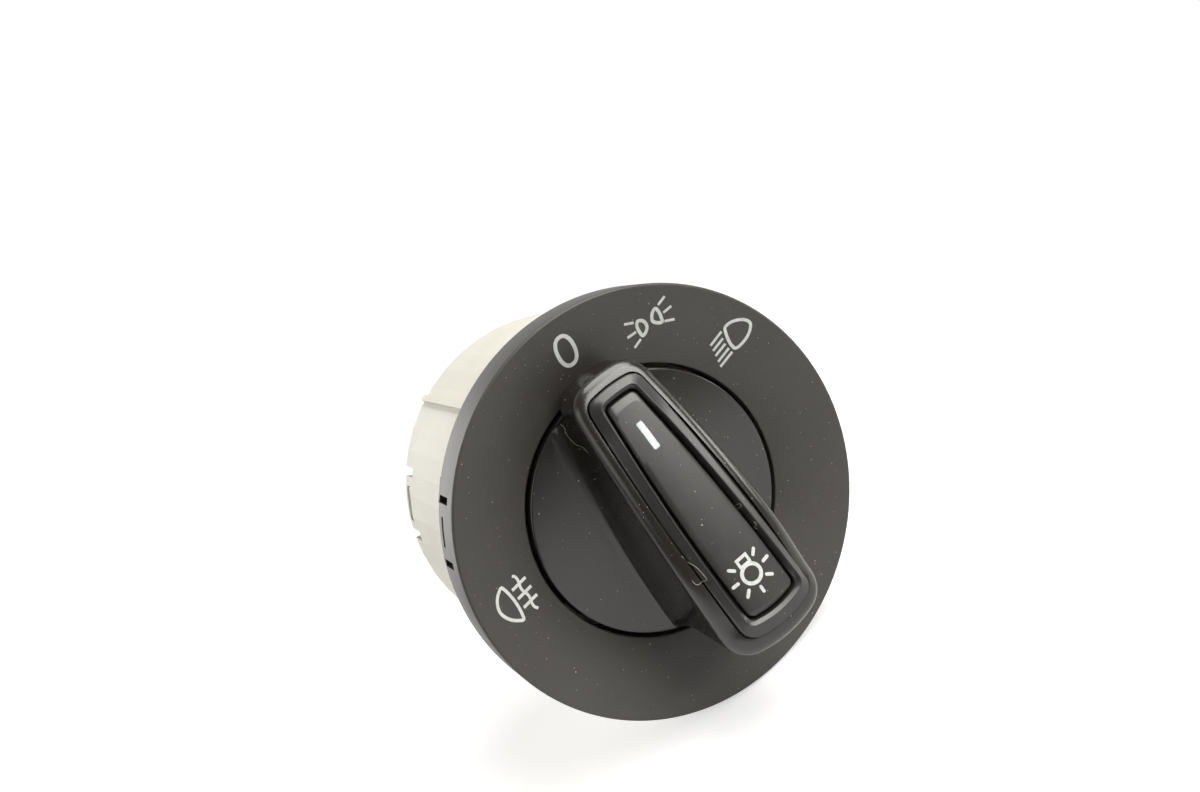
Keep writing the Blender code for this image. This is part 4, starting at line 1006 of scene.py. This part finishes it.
# Rotor and knob shaft. Grey acetal mouldings: the rotor turns in the housing's bearing,
# and the square shaft slides in it when the knob is pulled.
rotor_grey = plastic("rotor_grey", (108, 108, 104), (128, 128, 124), 0.5, 0.3)
dressed(rotor_grey, "rotor", "knob_shaft")


# Springs and retaining ring. Bright spring steel, drawn or stamped, with fine streaks
# along it and small dull spots.
def sheet_metal(name, tone, worn, roughness):
    look, shader, base, place = new_look(name)
    streak = base.noise(place, 1600.0, 2.0)
    spots = base.noise(place, 300.0, 4.0)
    base.mix(spots.step(0.55, 0.75), srgb(*tone), srgb(*worn)).into(shader, "Base Color")
    # both noises average a half, so the mean is near the roughness asked for
    (streak * 0.2 + spots * 0.15 + (roughness - 0.17)).into(shader, "Roughness")
    streak.relief(shader, 0.25, 0.00002)
    shader.inputs["Metallic"].default_value = 1.0
    return look


spring_steel = sheet_metal("spring_steel", (176, 177, 180), (140, 140, 142), 0.3)
dressed(spring_steel, "retaining_ring", "detent_spring", "return_spring",
        "latch_spring_left", "latch_spring_right")


# Contacts and terminal pins. Stamped brass tracks on the board, their wipers on the
# rotor and the fog contact, and ten tinned pins in the connector.
contact_brass = sheet_metal("contact_brass", (206, 172, 98), (170, 132, 70), 0.32)
dressed(contact_brass, "fog_contact")
for n in range(1, 4):
    dressed(contact_brass, "contact_track_%d" % n, "contact_wiper_%d" % n)
tinned_metal = sheet_metal("tinned_metal", (204, 204, 200), (168, 168, 164), 0.34)
for n in range(1, 11):
    dressed(tinned_metal, "terminal_pin_%d" % n)


# Light guides. Clear acrylic mouldings that carry the lamps' light to the symbols on the
# face and through the shaft to the pointer, faintly tinted with flow lines.
clear_guide, guide_shader, acrylic, guide_place = new_look("clear_guide")
flow = acrylic.noise(guide_place, 160.0, 2.0)
tint = acrylic.mix(flow.step(0.3, 0.7), srgb(222, 228, 230), srgb(236, 240, 242))
tint.into(guide_shader, "Base Color")
(flow * 0.12 + 0.08).into(guide_shader, "Roughness")
flow.relief(guide_shader, 0.2, 0.00004)
guide_shader.inputs["Transmission Weight"].default_value = 0.85
guide_shader.inputs["IOR"].default_value = 1.58
dressed(clear_guide, "symbol_light_guide", "knob_light_rod", "knob_light_pipe",
        "knob_light_ring")


# Circuit board and lamps. Glass cloth laminate under green solder mask, with paler copper
# lines below it, and five small moulded lamps soldered on.
board_laminate, board_shader, board, board_place = new_look("board_laminate")
cloth = board.noise(board_place, 1800.0, 1.0)
copper_lines = board.node("ShaderNodeTexVoronoi", {"feature": "DISTANCE_TO_EDGE"},
                          {"Vector": board_place, "Scale": 170.0})
mask = board.mix(1.0 - copper_lines.step(0.04, 0.07), srgb(28, 84, 54), srgb(58, 122, 80))
mask.into(board_shader, "Base Color")
(cloth * 0.15 + 0.32).into(board_shader, "Roughness")
(cloth + copper_lines * 0.5).relief(board_shader, 0.3, 0.00003)
dressed(board_laminate, "circuit_board")
led_white = white_print("led_white", (236, 233, 206))
for n in range(1, 6):
    dressed(led_white, "led_%d" % n)
